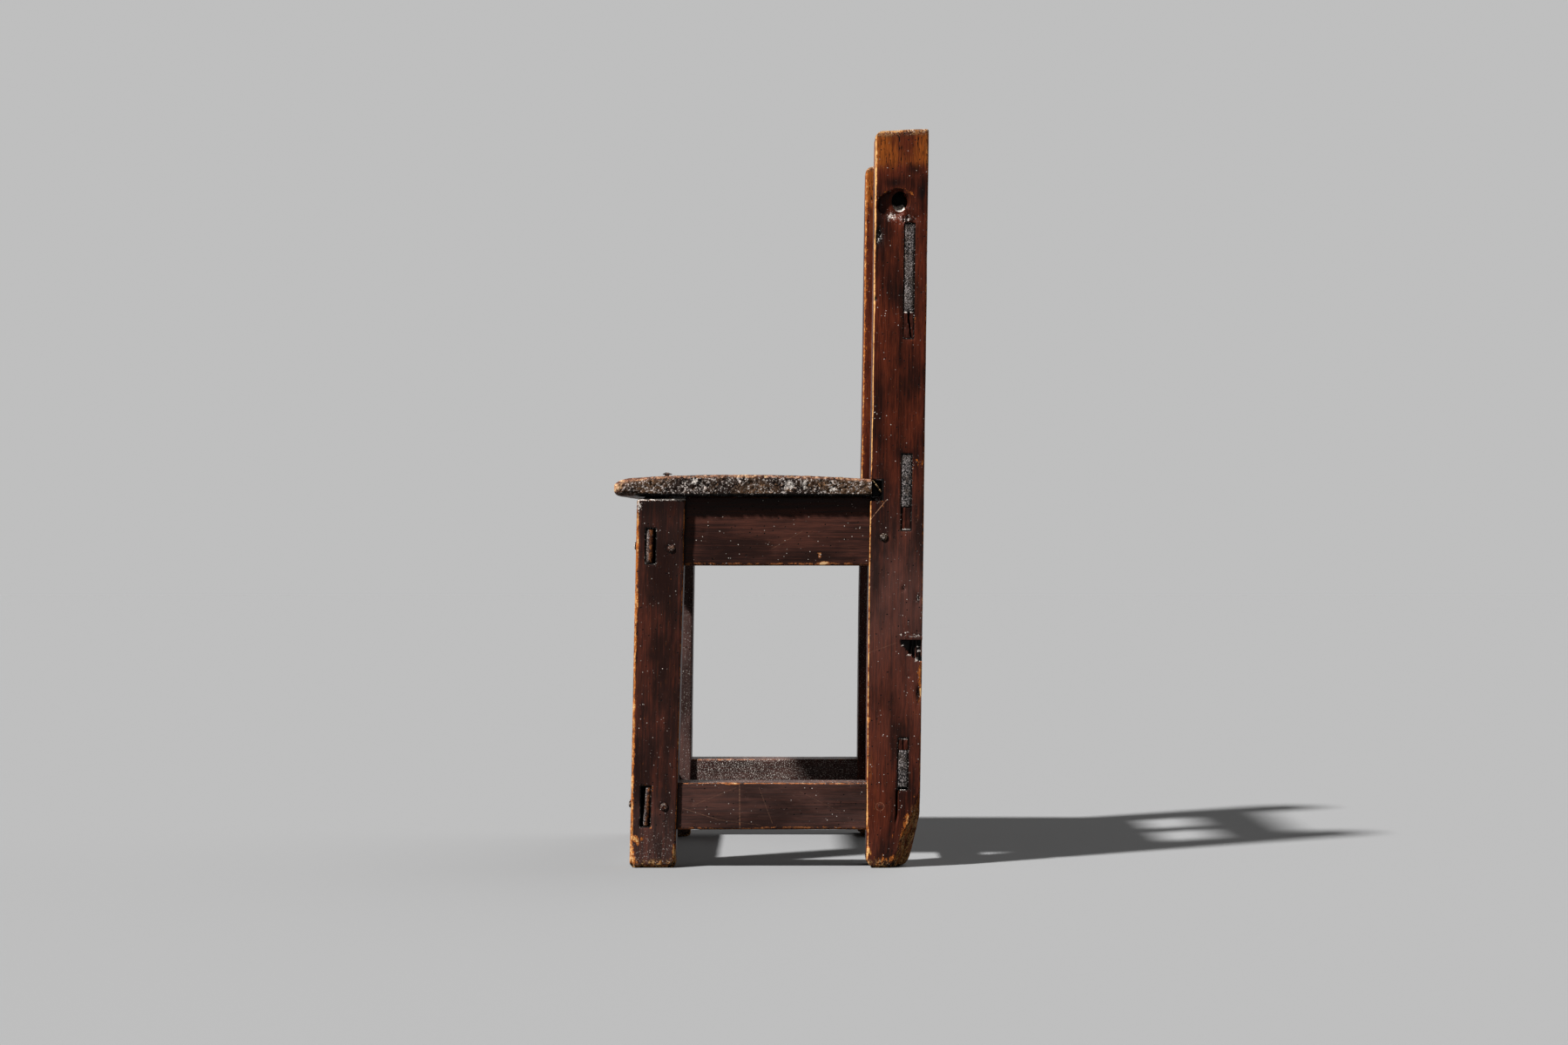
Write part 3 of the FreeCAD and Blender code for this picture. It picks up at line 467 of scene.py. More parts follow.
def make_mesh(name, points, quads, grain, finish):
    """Mesh in metres from points in millimetres, with the grain and the finishes as point attributes."""
    mesh = bpy.data.meshes.new(name)
    mesh.vertices.add(len(points))
    mesh.vertices.foreach_set("co", (points * MM).ravel())
    mesh.loops.add(quads.size)
    mesh.loops.foreach_set("vertex_index", quads.ravel())
    mesh.polygons.add(len(quads))
    mesh.polygons.foreach_set("loop_start", np.arange(0, quads.size, 4))
    mesh.update(calc_edges=True)
    mesh.attributes.new("grain", "FLOAT_VECTOR", "POINT").data.foreach_set("vector", grain.ravel())
    for key_name, values in finish.items():
        mesh.attributes.new(key_name, "FLOAT", "POINT").data.foreach_set("value", values)
    work = bmesh.new()
    work.from_mesh(mesh)
    bmesh.ops.remove_doubles(work, verts=work.verts, dist=MERGE_DISTANCE)
    bmesh.ops.dissolve_degenerate(work, edges=work.edges, dist=MERGE_DISTANCE)
    work.to_mesh(mesh)
    work.free()
    mesh.polygons.foreach_set("use_smooth", np.ones(len(mesh.polygons), bool))
    mesh.set_sharp_from_angle(angle=math.radians(SHARP_DEGREES))
    return mesh


def make_piece(name, node, slot, timbers):
    """One object from one or more worked surfaces: it rides on the chair and stands for a CAD node."""
    global piece_count
    starts = np.cumsum([0] + [len(each.points) for each in timbers])
    points = np.concatenate([each.points for each in timbers])
    quads = np.concatenate([each.quads + start for each, start in zip(timbers, starts)])
    grain = np.concatenate([each.grain + grain_shift(each.seed) for each in timbers])
    finish = {key_name: np.concatenate([each.finish[key_name] for each in timbers]) for key_name in FINISHES}
    mesh = make_mesh(name, points, quads, grain, finish)
    piece = bpy.data.objects.new(name, mesh)
    bpy.context.scene.collection.objects.link(piece)
    mesh.materials.append(slot_materials[slot])
    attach(piece, "root")
    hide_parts(node)
    piece_count += 1
    print(name, len(mesh.polygons), "faces")


# %% [markdown]
# ## Finishes as nodes
# Each finish is built from short calls that add a node and return its output. The pattern of every
# wood comes from the grain record, in millimetres: noise squeezed across the grain and drawn out along
# it gives streaks, large soft noise gives mottling, and small round cells give worm holes and dust.

# %% Node helper
def srgb(red, green, blue):
    """A colour given in screen values from 0 to 255, as linear light with full cover."""
    screen = np.array([red, green, blue]) / 255
    linear = np.where(screen <= 0.04045, screen / 12.92, ((screen + 0.055) / 1.055) ** 2.4)
    return (*linear.tolist(), 1.0)


class Finish:
    """A material that grows by calls; each call adds a node or a few and returns an output socket."""

    def __init__(self, name):
        self.material = bpy.data.materials.new(name)
        self.material.use_nodes = True
        self.nodes = self.material.node_tree.nodes
        self.links = self.material.node_tree.links
        self.shader = self.nodes["Principled BSDF"]

    def put(self, socket, value):
        """Link an output to a socket, or set a plain value on it."""
        if isinstance(value, bpy.types.NodeSocket):
            self.links.new(value, socket)
        else:
            socket.default_value = value

    def add(self, kind, output, inputs, **settings):
        """Add one node with its settings, fill its inputs with links or values, and return an output."""
        node = self.nodes.new("ShaderNode" + kind)
        for key_name, value in settings.items():
            setattr(node, key_name, value)
        for socket, value in inputs.items():
            self.put(node.inputs[socket], value)
        return node.outputs[output]

    def record(self, name, output="Fac"):
        """One of the piece's own point attributes."""
        return self.add("Attribute", output, {}, attribute_name=name)

    def maths(self, operation, first, second=0.0):
        """One sum on numbers."""
        return self.add("Math", 0, {0: first, 1: second}, operation=operation)

    def times(self, first, second):
        """Product of two numbers."""
        return self.maths("MULTIPLY", first, second)

    def blend(self, *terms):
        """Sum of (value, weight) terms."""
        weighted = [self.times(value, weight) for value, weight in terms]
        total = weighted[0]
        for each in weighted[1:]:
            total = self.maths("ADD", total, each)
        return total

    def vector(self, operation, first, second, output=0):
        """One sum on vectors."""
        return self.add("VectorMath", output, {0: first, 1: second}, operation=operation)

    def distance(self, place, start, stop):
        """Distance of a place from a straight line between two fixed points.

        The part of the way along is the dot product with the run, over the run's square, kept in 0 to 1.
        """
        run = Vector(stop) - Vector(start)
        place = self.vector("ADD", place, tuple(-Vector(start)))
        part = self.vector("DOT_PRODUCT", place, tuple(run / run.length_squared), "Value")
        part = self.maths("MINIMUM", self.maths("MAXIMUM", part, 0.0), 1.0)
        along = self.add("VectorMath", 0, {0: tuple(run), "Scale": part}, operation="SCALE")
        return self.vector("DISTANCE", place, along, "Value")

    def noise(self, place, scale, detail=3.0, roughness=0.55, output="Fac"):
        """Fractal noise about 0.5, or three of them as a colour."""
        inputs = {"Vector": place, "Scale": scale, "Detail": detail, "Roughness": roughness}
        return self.add("TexNoise", output, inputs)

    def spots(self, place, scale, output="Distance"):
        """Distance from the nearest of many scattered points, in cells, or a random colour for each cell."""
        return self.add("TexVoronoi", output, {"Vector": place, "Scale": scale})

    def warp(self, place, scale, amount):
        """A place pushed about by the three colours of a noise, times an amount."""
        push = self.vector("MULTIPLY", self.noise(place, scale, 2.0, 0.5, "Color"), (amount, amount, amount))
        return self.vector("ADD", place, push)

    def ramp(self, value, low, high, start=0.0, end=1.0):
        """Smooth step from start to end as a value goes from low to high."""
        inputs = {"Value": value, "From Min": low, "From Max": high, "To Min": start, "To Max": end}
        return self.add("MapRange", "Result", inputs, interpolation_type="SMOOTHSTEP")

    def mix(self, factor, first, second):
        """Blend of two colours."""
        return self.add("Mix", 2, {0: factor, 6: first, 7: second}, data_type="RGBA")

    def bump(self, height, distance, strength):
        """Small relief in metres on the shader's normal."""
        normal = self.add("Bump", "Normal", {"Distance": distance, "Strength": strength, "Height": height})
        self.links.new(normal, self.shader.inputs["Normal"])


print("mid grey on a screen is", round(srgb(128, 128, 128)[0], 3), "of full light")

# %% [markdown]
# ## Stained wood
# The chair was stained a deep red-brown and then handled for generations. Streaks of the grain show
# through the stain, edges are rubbed to orange and then to bare pale wood, dirt has gone black in the
# joints, and worm holes and specks of dust are scattered over everything; the specks also stand as painted
# glints. The same black also paints shade in hollows and under the seat, and the same pale crumbs paint
# highlights on some lips and edges. One function makes this for the posts, the rails, the seat and the pegs,
# with their own colours and amounts. Each layer is a method of one small class, so that it can be read and
# tried by itself. The cells of end grain and of flaking stain are pushed about by a noise first, so that none
# of them has straight sides.

# %% Wood finish
WORM_HOLE = srgb(8, 5, 4)
DUST_AND_GLINT = srgb(232, 222, 212)
# The black of dirt, and also of the shade painted into hollows and under the seat.
GRIME_AND_SHADE = srgb(9, 6, 5)
FILM = srgb(98, 80, 76)
PIT = srgb(38, 20, 12)
WORM_CELLS = 0.19              # worm holes per millimetre
# The specks are dust, and they also stand as painted glints.
DUST_AND_GLINT_CELLS = 0.25              # specks of dust per millimetre
SALT_CELLS = 1.1               # grains of the end grain per millimetre
FINE_SALT_CELLS = 2.2          # the same on the tenons, which are of closer wood
FLAKE_CELLS = 0.8              # flakes of worn stain per millimetre
DUST_AND_GLINT_SHIFT = (40.0, 40.0, 40.0)
SCRATCH = srgb(190, 142, 112)
SATIN = (0.32, 0.52)           # roughness of the stained face, from dark to light streaks
SHEEN = 0.08
RELIEF = 0.0005


class StainedWood(Finish):
    """Stained, worn wood in layers: stain, checks, film, wear, scratches, end grain, dirt and painted shade,
    holes, dust and painted glints.
    """

    def __init__(self, name, end_grains):
        super().__init__(name)
        self.grain = self.record("grain", "Vector")
        records = [self.record(each) for each in FINISHES]
        self.wear, self.grime, self.end, self.fleck, self.veil, self.tone = records
        self.streaks = self.along_grain(0.022, 0.55, 5.0, 0.62)
        self.fine = self.along_grain(0.05, 1.9, 3.0, 0.6)
        self.mottle = self.along_grain(0.32, 0.045, 4.0, 0.6)
        self.crumbly = self.along_grain(0.6, 0.9, 3.0, 0.7)
        uneven = self.warp(self.grain, 1.6 * end_grains, 2.2 / end_grains)
        self.speckle = self.spots(uneven, end_grains, "Color")
        self.cloudy = 0.5 / end_grains

    def squeezed(self, place, draw):
        """A place squeezed along the grain, so that what is drawn there comes out longer."""
        return self.vector("MULTIPLY", place, (1.0, 1.0, draw))

    def along_grain(self, draw, scale, detail, roughness=0.55):
        """Noise drawn out along the grain: the lower the draw, the longer its streaks."""
        return self.noise(self.squeezed(self.grain, draw), scale, detail, roughness)

    def cover(self, amount, colour):
        """Lay a colour over what is there."""
        self.colour = self.mix(amount, self.colour, colour)

    def stain(self, deep, stain, amber, blotchy=1.30):
        """Deep to red-brown to amber by mottling, streaks and tone, with fine dark pores along the grain."""
        shade = self.blend((self.mottle, blotchy), (self.streaks, 1.90 - blotchy), (self.tone, 0.55))
        self.colour = self.mix(self.ramp(shade, 0.74, 1.14), deep, stain)
        self.cover(self.ramp(shade, 1.14, 1.56), amber)
        self.cover(self.ramp(self.fine, 0.34, 0.60, 0.60, 0.0), deep)
        self.cover(self.ramp(self.fine, 0.60, 0.78, 0.0, 0.25), amber)

    def checks(self):
        """Short dark checks along the grain where the tone is high, at the tops of the posts."""
        cracks = self.ramp(self.along_grain(0.17, 0.75, 2.0), 0.59, 0.65)
        self.cover(self.times(cracks, self.ramp(self.tone, 0.45, 0.85)), GRIME_AND_SHADE)

    def film(self):
        """A thin veil of old dust, uneven by the mottling."""
        self.cover(self.times(self.veil, self.ramp(self.mottle, 0.32, 0.62, 0.30, 1.0)), FILM)

    def rub_through(self, rubbed, bare):
        """Orange and then bare wood where wear plus a ragged noise passes two marks, with dark pits in it."""
        ragged = self.along_grain(0.35, 0.36, 4.0, 0.7)
        flakes = self.spots(self.squeezed(self.warp(self.grain, 1.2, 2.6), 0.5), FLAKE_CELLS, "Color")
        worn = self.blend((self.wear, 1.0), (ragged, 1.0), (self.crumbly, 0.5), (flakes, 0.42))
        grainy = self.mix(self.ramp(self.speckle, 0.38, 0.52), self.mix(0.45, rubbed, PIT), rubbed)
        self.cover(self.ramp(worn, 1.30, 1.38), grainy)
        self.cover(self.ramp(worn, 1.56, 1.70), bare)
        pits = self.ramp(self.crumbly, 0.57, 0.63)
        self.cover(self.times(pits, self.ramp(self.wear, 0.15, 0.45, 0.0, 0.9)), PIT)

    def scratches(self, lines):
        """Straight scratches, or rings of a radius about a line: (start, stop, width, strength, radius).

        The places are in the grain's space. A scratch of negative strength is dark, and all are broken.
        """
        broken = self.ramp(self.crumbly, 0.42, 0.58, 0.25, 1.0)
        for start, stop, width, strength, radius in lines:
            gap = self.maths("SUBTRACT", self.distance(self.grain, start, stop), radius)
            near = self.ramp(self.maths("ABSOLUTE", gap), width, 0.3 * width, 0.0, abs(strength))
            self.cover(self.times(near, broken), SCRATCH if strength > 0 else GRIME_AND_SHADE)

    def end_grain(self, dark, light, warm, share):
        """Salt and pepper on end grain: the given share of many small cells is light, warmer in patches."""
        brown = self.ramp(self.noise(self.grain, 0.13), 0.52, 0.64)
        uneven = self.blend((self.speckle, 1.0), (self.noise(self.grain, 0.30), self.cloudy))
        level = 0.95 + 0.5 * self.cloudy - share
        salt = self.ramp(uneven, level, level + 0.1)
        deep = self.mix(self.ramp(self.mottle, 0.40, 0.62), dark, self.mix(0.22, dark, warm))
        self.cover(self.end, self.mix(salt, deep, self.mix(brown, light, warm)))

    def dirt_and_shade(self):
        """Black where grime is marked, uneven by the mottling: dirt, and painted shade in hollows and under
        the seat.
        """
        self.cover(self.ramp(self.blend((self.grime, 1.0), (self.mottle, 0.35)), 0.38, 0.95), GRIME_AND_SHADE)

    def worm_holes_dust_and_glints(self):
        """Round worm holes, bright specks of dust that also stand as painted glints, and pale crumbs and
        painted highlights where fleck is marked.
        """
        cluster = self.ramp(self.noise(self.grain, 0.06), 0.41, 0.62)
        specks = self.spots(self.vector("ADD", self.grain, DUST_AND_GLINT_SHIFT), DUST_AND_GLINT_CELLS)
        specks = self.times(self.ramp(specks, 0.104, 0.060), cluster)
        crumbs = self.blend((self.noise(self.grain, 1.1, 2.0, 0.7), 1.0), (self.fleck, 0.34))
        pale = self.maths("MAXIMUM", specks, self.ramp(crumbs, 0.73, 0.80))
        # Painted glints and highlights: the pale specks and the pale marks are laid on as a near-white
        # colour, together with real dust and crumbs.
        self.cover(self.times(pale, 0.9), DUST_AND_GLINT)
        self.holes = self.ramp(self.spots(self.grain, WORM_CELLS), 0.115, 0.080)
        self.cover(self.holes, WORM_HOLE)

    def surface(self):
        """Satin where stained, dull where worn or end grain; fine relief along the grain, holes sunk."""
        self.put(self.shader.inputs["Base Color"], self.colour)
        bare = self.maths("MAXIMUM", self.wear, self.end)
        rough = self.blend((self.ramp(self.streaks, 0.3, 0.7, *SATIN), 1.0), (bare, 0.25))
        self.put(self.shader.inputs["Roughness"], rough)
        self.shader.inputs["Specular IOR Level"].default_value = SHEEN
        relief = self.blend((self.fine, 0.35), (self.streaks, 0.4), (self.holes, -1.6))
        rough_end = self.times(self.times(self.speckle, self.end), 1.6)
        self.bump(self.maths("ADD", relief, rough_end), RELIEF, 0.8)
        return self.material


# %% [markdown]
# ## Scratches
# Scratches are straight, so they cannot come from a noise. Each is a line whose two ends are given on
# the outer face of one piece, and the material measures how far every place is from it. The grain
# record of each piece is set apart from the others of its wood, so a line meets that piece alone.

# %% Scratch lines
PEG_INSET = 10.0
PEG_RADIUS = 3.1
FOOT_PEG_HEIGHT = 48.2
LEFT_POST_SEED = 21
LEFT_RAIL_SEED = 41
ALONG_Y, ALONG_Z = 1, 2
RING_REACH = 2.0
RING_LINE = (0.35, 0.30)              # width and strength
post_scratches = (                    # (y, z) of both ends, width and strength
    ((11.9, 288.6), (-0.2, 272.2), 0.36, 0.75), ((1.0, 169.0), (21.5, 177.0), 0.35, 0.14),
)
rail_scratches = (
    ((68.0, 13.0), (92.0, 27.0), 0.35, 0.14), ((8.0, 24.0), (46.0, 20.0), 0.35, -0.4),
    ((86.0, 8.0), (146.0, 9.5), 0.35, -0.4),
)
stretcher_scratches = (
    ((49.6, 1.0), (48.6, 36.0), 0.5, 0.34), ((4.0, 17.0), (32.0, 8.0), 0.35, 0.22),
    ((32.0, 8.0), (66.0, 3.5), 0.32, 0.14), ((12.0, 19.0), (46.0, 33.0), 0.32, 0.15),
    ((64.0, 33.0), (75.0, 5.0), 0.32, 0.17), ((96.0, 30.0), (128.0, 14.0), 0.32, 0.10),
    ((98.0, 21.0), (147.0, 20.5), 0.5, -0.7), ((112.0, 12.0), (147.0, 13.0), 0.4, -0.5),
    ((6.0, 30.0), (52.0, 29.0), 0.4, -0.4), ((120.0, 6.5), (146.0, 5.5), 0.4, -0.5),
)


def node_box(node):
    """Lowest and highest corner of a CAD node in millimetres."""
    low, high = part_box(node)
    return np.array(low) / MM, np.array(high) / MM


def width_of(node):
    """Size of a CAD node across the chair."""
    low, high = node_box(node)
    return high[0] - low[0]


def grain_place(point, along, seed):
    """A place in a piece's block as its grain record has it: the way of the grain last, set apart."""
    return tuple(np.roll(np.asarray(point, float), 2 - along) + grain_shift(seed))


def on_outer_face(outer, along, seed, marks):
    """Scratches on an outer X face as lines in the grain's space, none of them a ring."""
    lines = []
    for start, stop, width, strength in marks:
        ends = [grain_place((outer, *end), along, seed) for end in (start, stop)]
        lines.append((*ends, width, strength, 0.0))
    return lines


def peg_outline(outer, along, seed, place, radius):
    """A thin pale ring about a peg's axis, which runs along X."""
    ends = [grain_place((outer + reach, *place), along, seed) for reach in (-RING_REACH, RING_REACH)]
    return [(*ends, *RING_LINE, radius)]


POST_WIDTH = width_of("left_back_post")
RAIL_OUTER = width_of("left_seat_rail")
STRETCHER_OUTER = width_of("left_stretcher")
post_lines = on_outer_face(POST_WIDTH, ALONG_Z, LEFT_POST_SEED, post_scratches)
post_lines += peg_outline(POST_WIDTH, ALONG_Z, LEFT_POST_SEED, (PEG_INSET, FOOT_PEG_HEIGHT), PEG_RADIUS)
rail_lines = on_outer_face(RAIL_OUTER, ALONG_Y, LEFT_RAIL_SEED, rail_scratches)
rail_lines += on_outer_face(STRETCHER_OUTER, ALONG_Y, LEFT_RAIL_SEED + 1, stretcher_scratches)
print("lines on the posts:", len(post_lines), "and on the rails:", len(rail_lines))

# %% [markdown]
# ## Four woods
# The posts are the reddest and wear to orange. The rails are browner, with close grey ends. The seat
# is a paler brown, and the ends of the pegs and wedges are the darkest.

# %% Woods


def stained_wood(name, stain, worn, end, scratches=(), end_grains=SALT_CELLS):
    """One wood: stain (deep, stain, amber), worn (rubbed, bare) and end (dark, light, warm, share)."""
    wood = StainedWood(name, end_grains)
    wood.stain(*stain)
    wood.checks()
    wood.film()
    wood.rub_through(*worn)
    wood.scratches(scratches)
    wood.end_grain(*end)
    wood.dirt_and_shade()
    wood.worm_holes_dust_and_glints()
    return wood.surface()


slot_materials = {
    "post_wood": stained_wood(
        "post_wood_worn",
        (srgb(28, 10, 6), srgb(92, 39, 23), srgb(150, 78, 28)),
        (srgb(176, 98, 40), srgb(228, 176, 112)),
        (srgb(44, 24, 15), srgb(212, 164, 106), srgb(172, 110, 56), 0.46),
        post_lines),
    "rail_wood": stained_wood(
        "rail_wood_worn",
        (srgb(30, 14, 10), srgb(80, 42, 31), srgb(118, 66, 42), 1.05),
        (srgb(160, 96, 54), srgb(216, 174, 126)),
        (srgb(13, 11, 11), srgb(168, 158, 155), srgb(126, 112, 104), 0.39),
        rail_lines, FINE_SALT_CELLS),
    "seat_wood": stained_wood(
        "seat_wood_worn",
        (srgb(38, 20, 14), srgb(94, 56, 40), srgb(134, 88, 58)),
        (srgb(170, 122, 92), srgb(228, 190, 142)),
        (srgb(34, 23, 17), srgb(200, 188, 180), srgb(146, 108, 76), 0.27)),
    "peg_wood": stained_wood(
        "peg_wood_worn",
        (srgb(26, 12, 9), srgb(88, 42, 30), srgb(120, 70, 46)),
        (srgb(140, 92, 54), srgb(196, 154, 108)),
        (srgb(12, 9, 8), srgb(170, 158, 148), srgb(110, 82, 58), 0.30)),
}
print("woods:", ", ".join(slot_materials))

# %% [markdown]
# ## Iron
# The seat is held by nails forged by hand. Their iron is nearly black, with brown rust in patches and a
# dull sheen where feet and hands polish the heads.

# %% Nail finish
def forged_iron():
    """Dark iron with rust patches from soft noise; rust is rough and not metallic."""
    iron = Finish("nail_iron_forged")
    grain = iron.record("grain", "Vector")
    patches = iron.noise(grain, 0.45, 4.0, 0.65)
    rust = iron.ramp(patches, 0.45, 0.62)
    iron.put(iron.shader.inputs["Base Color"], iron.mix(rust, srgb(70, 66, 63), srgb(74, 42, 28)))
    iron.put(iron.shader.inputs["Metallic"], iron.ramp(patches, 0.45, 0.62, 0.8, 0.0))
    iron.put(iron.shader.inputs["Roughness"], iron.ramp(patches, 0.40, 0.62, 0.42, 0.85))
    iron.bump(patches, 0.0004, 0.7)
    return iron.material


slot_materials["nail_iron"] = forged_iron()
print("iron:", slot_materials["nail_iron"].name)

# %% [markdown]
# ## Where the frame leans
# Legs rake forward to the foot and posts lean back to the top. We work each piece upright and lean it
# at the end, so all its sizes stay simple. Boxes of the nodes give the ends of each line.

# %% Lean of legs and posts
LEG_SPLAY = 6.0
LEG_FOOT_DEPTH = 36.0
LEG_TOP_DEPTH = 38.2
POST_LEAN = 7.5
POST_DEPTH = 41.0
leg_low, leg_high = node_box("left_front_leg")
post_high = node_box("left_back_post")[1]
LEG_HEIGHT = leg_high[2]
POST_HEIGHT = post_high[2]
LEG_WIDTH = leg_high[0] - leg_low[0]
INNER_X = leg_low[0]


def leg_front(z):
    """Y of a front leg's front face: a straight line from the foot, which stands ahead."""
    return leg_low[1] + LEG_SPLAY * z / LEG_HEIGHT


def leg_back(z):
    """Y of a front leg's rear face; the leg is a little deeper at the top."""
    return leg_front(z) + LEG_FOOT_DEPTH + (LEG_TOP_DEPTH - LEG_FOOT_DEPTH) * z / LEG_HEIGHT


def post_front(z):
    """Y of a back post's front face: a straight line that leans back."""
    return post_high[1] - POST_DEPTH - POST_LEAN * (POST_HEIGHT - z) / POST_HEIGHT


print("leg front", round(leg_front(0), 1), "to", round(leg_front(LEG_HEIGHT), 1),
      "mm; post front", round(post_front(0), 1), "to", round(post_front(POST_HEIGHT), 1), "mm")

# %% [markdown]
# ## Joints
# Rails across the chair are tenoned right through the legs and posts, so the ends of their tenons show
# on the outer faces. Each mortise is a slot (front, back, low, high) in the upright's own block. In the
# posts a wedge fills the rest of each slot, and in the front legs a gap has opened beside the tenon.

# %% Mortises
crest_low, crest_high = node_box("crest_rail")
lower_low, lower_high = node_box("lower_back_rail")
rear_low, rear_high = node_box("rear_stretcher")
front_low, front_high = node_box("front_seat_rail")
foot_low, foot_high = node_box("front_stretcher")
crest_wedge = [box[2] for box in node_box("crest_rail_wedges")]
lower_wedge = [box[2] for box in node_box("lower_back_rail_wedges")]
rear_wedge = [box[2] for box in node_box("rear_stretcher_wedges")]
FIT = 0.1
END_GAP = 0.5
BACK_TENON = (23.3, 30.8)
FRONT_TENON = (8.0, 13.6)
FRONT_GAP = 2.0
FOOT_TENON_SHIFT = 1.9
LOWER_TENON_HEIGHT = 41.0
REAR_SLOT_RISE = 2.6
REAR_TENON_RISE = 4.2
FRONT_RAIL_TENON = (2.2, 28.7)
STRETCHER_TENON = (3.2, 33.6)
BACK_SLOT = (BACK_TENON[0] - FIT, BACK_TENON[1] + FIT)
post_slots = {
    "crest": (*BACK_SLOT, crest_wedge[0], crest_high[2] + END_GAP),
    "lower": (*BACK_SLOT, lower_wedge[0], lower_wedge[1] + LOWER_TENON_HEIGHT + END_GAP),
    "rear": (*BACK_SLOT, rear_low[2] + REAR_SLOT_RISE, rear_wedge[1]),
}
leg_slots = {
    "rail": (FRONT_TENON[0] - 2 * FIT, FRONT_TENON[1] + FRONT_GAP,
             front_low[2] + FRONT_RAIL_TENON[0] - END_GAP, front_low[2] + FRONT_RAIL_TENON[1] + END_GAP),
    "foot": (FRONT_TENON[0] + FOOT_TENON_SHIFT - FRONT_GAP, FRONT_TENON[1] + FOOT_TENON_SHIFT + FIT,
             foot_low[2] + STRETCHER_TENON[0] - END_GAP, foot_low[2] + STRETCHER_TENON[1] + END_GAP),
}
print("slots in each post:", len(post_slots), "and in each front leg:", len(leg_slots))


def rim(timber, slot):
    """Distance of each point from a slot's rectangle, seen along X."""
    y, z = timber.square[:, 1], timber.square[:, 2]
    aside = np.maximum(np.maximum(slot[0] - y, y - slot[1]), 0)
    above = np.maximum(np.maximum(slot[2] - z, z - slot[3]), 0)
    return np.hypot(aside, above)


def work_slots(timber, slots):
    """Break the rims of the slots, blacken them, and darken their walls."""
    for slot in slots.values():
        gap = rim(timber, slot)
        ragged = 1 + timber.wander((2.0, 2.0, 6), 61, 2)
        timber.press(0.6 * np.exp(-gap / 0.6) * ragged)
        timber.mark("grime", np.exp(-gap / 0.9))
        timber.mark("wear", 0.30 * hump(gap, 1.2, 0.6) * step_up(ragged, 1.0, 1.5))
        timber.mark("fleck", 0.35 * np.exp(-gap / 1.2))


def peg_ring(timber, y, height, sunk):
    """A groove and a dark line round a peg on the outer face."""
    ring = np.sqrt(timber.near((timber.high[0], y, height), (4.0, PEG_RADIUS, PEG_RADIUS)))
    timber.press(sunk * hump(ring, 1.05, 0.3))
    timber.mark("grime", np.minimum(1, 2 * sunk) * hump(ring, 1.0, 0.35))


# %% [markdown]
# ## Front legs
# A leg is a square block, raked, with two slots and two pegs. The front edge has met every knock for a
# century, so it is rubbed to pale orange with small breaks, and the foot is ragged. The back edge is
# only thinly worn. The right leg is made by the same steps with other seeds, and then turned over.

# %% Front leg maker
LEG_STEP = 1.2
LEAST_ROUND = 0.7
LEG_NICKS = (40, 0.7, 0.8, (1.5, 6), 0.9)     # count, share outside and in front, lengths, bare wood
LEG_BRUISES = (24, 0.45)                      # count and depth
FAR_FOOT_DEEPER = 4.5
FOOT_DEPTHS = {1: LEG_FOOT_DEPTH, -1: LEG_FOOT_DEPTH + FAR_FOOT_DEEPER}
leg_peg_heights = {"rail": 250.5, "foot": FOOT_PEG_HEIGHT}
leg_bare_patches = (                  # y, z, size inward, across and up, amount
    (1.0, 12.0, 5.0, 3.8, 14.0, 0.66), (5.0, 21.5, 4.0, 3.8, 4.5, 0.72),
    (36.0, 9.0, 4.0, 2.6, 10.0, 0.66), (0.0, 70.0, 4.0, 3.0, 9.0, 0.60),
    (0.0, 205.0, 4.0, 2.6, 7.0, 0.60),
)


def lean_leg(y, z, foot_depth):
    """The front half follows the front face, the back half is stretched from the foot to the deeper top."""
    half = LEG_FOOT_DEPTH / 2
    deeper = foot_depth - LEG_FOOT_DEPTH + (LEG_TOP_DEPTH - foot_depth) * z / LEG_HEIGHT
    return leg_front(z) + y + deeper * np.maximum(y - half, 0) / half


def dull_inner_face(timber, film):
    """The inner face of a far upright below the seat, away from hands: little wear and a veil of dust."""
    inner = step_up(2 - timber.square[:, 0], 0, 1) * step_up(LEG_HEIGHT - timber.square[:, 2], -2, 2)
    timber.finish["wear"] *= 1 - 0.75 * inner
    timber.mark("fleck", 0.3 * inner)
    timber.mark("film", film * inner)


def worn_foot(timber, x_size, y_size):
    """Break the four corners of a foot and make its last few millimetres ragged."""
    for x in (0, x_size):
        for y in (0, y_size):
            out = np.array([1 if x else -1, 1 if y else -1, -0.7])
            timber.chip(np.array([x, y, 0]) - out * 1.9, out, (6, 6, 16), 0.9, 0.5)
    z = timber.square[:, 2]
    timber.press(0.9 * step_up(10 - z, 0, 10) * np.maximum(0, timber.wander((5, 5, 9), 71)))
    timber.mark("wear", 0.46 * step_up(13 - z, 0, 9) * step_up(timber.wander((4, 4, 9), 72), -0.2, 0.4))
    timber.mark("grime", 0.8 * step_up(9 - z, 0, 7) * step_up(timber.wander((3, 3, 6), 73), -0.1, 0.35))
    timber.mark("end", 0.8 * step_up(8 - z, 0, 5) * step_up(timber.wander((3, 3, 5), 74), -0.3, 0.2))


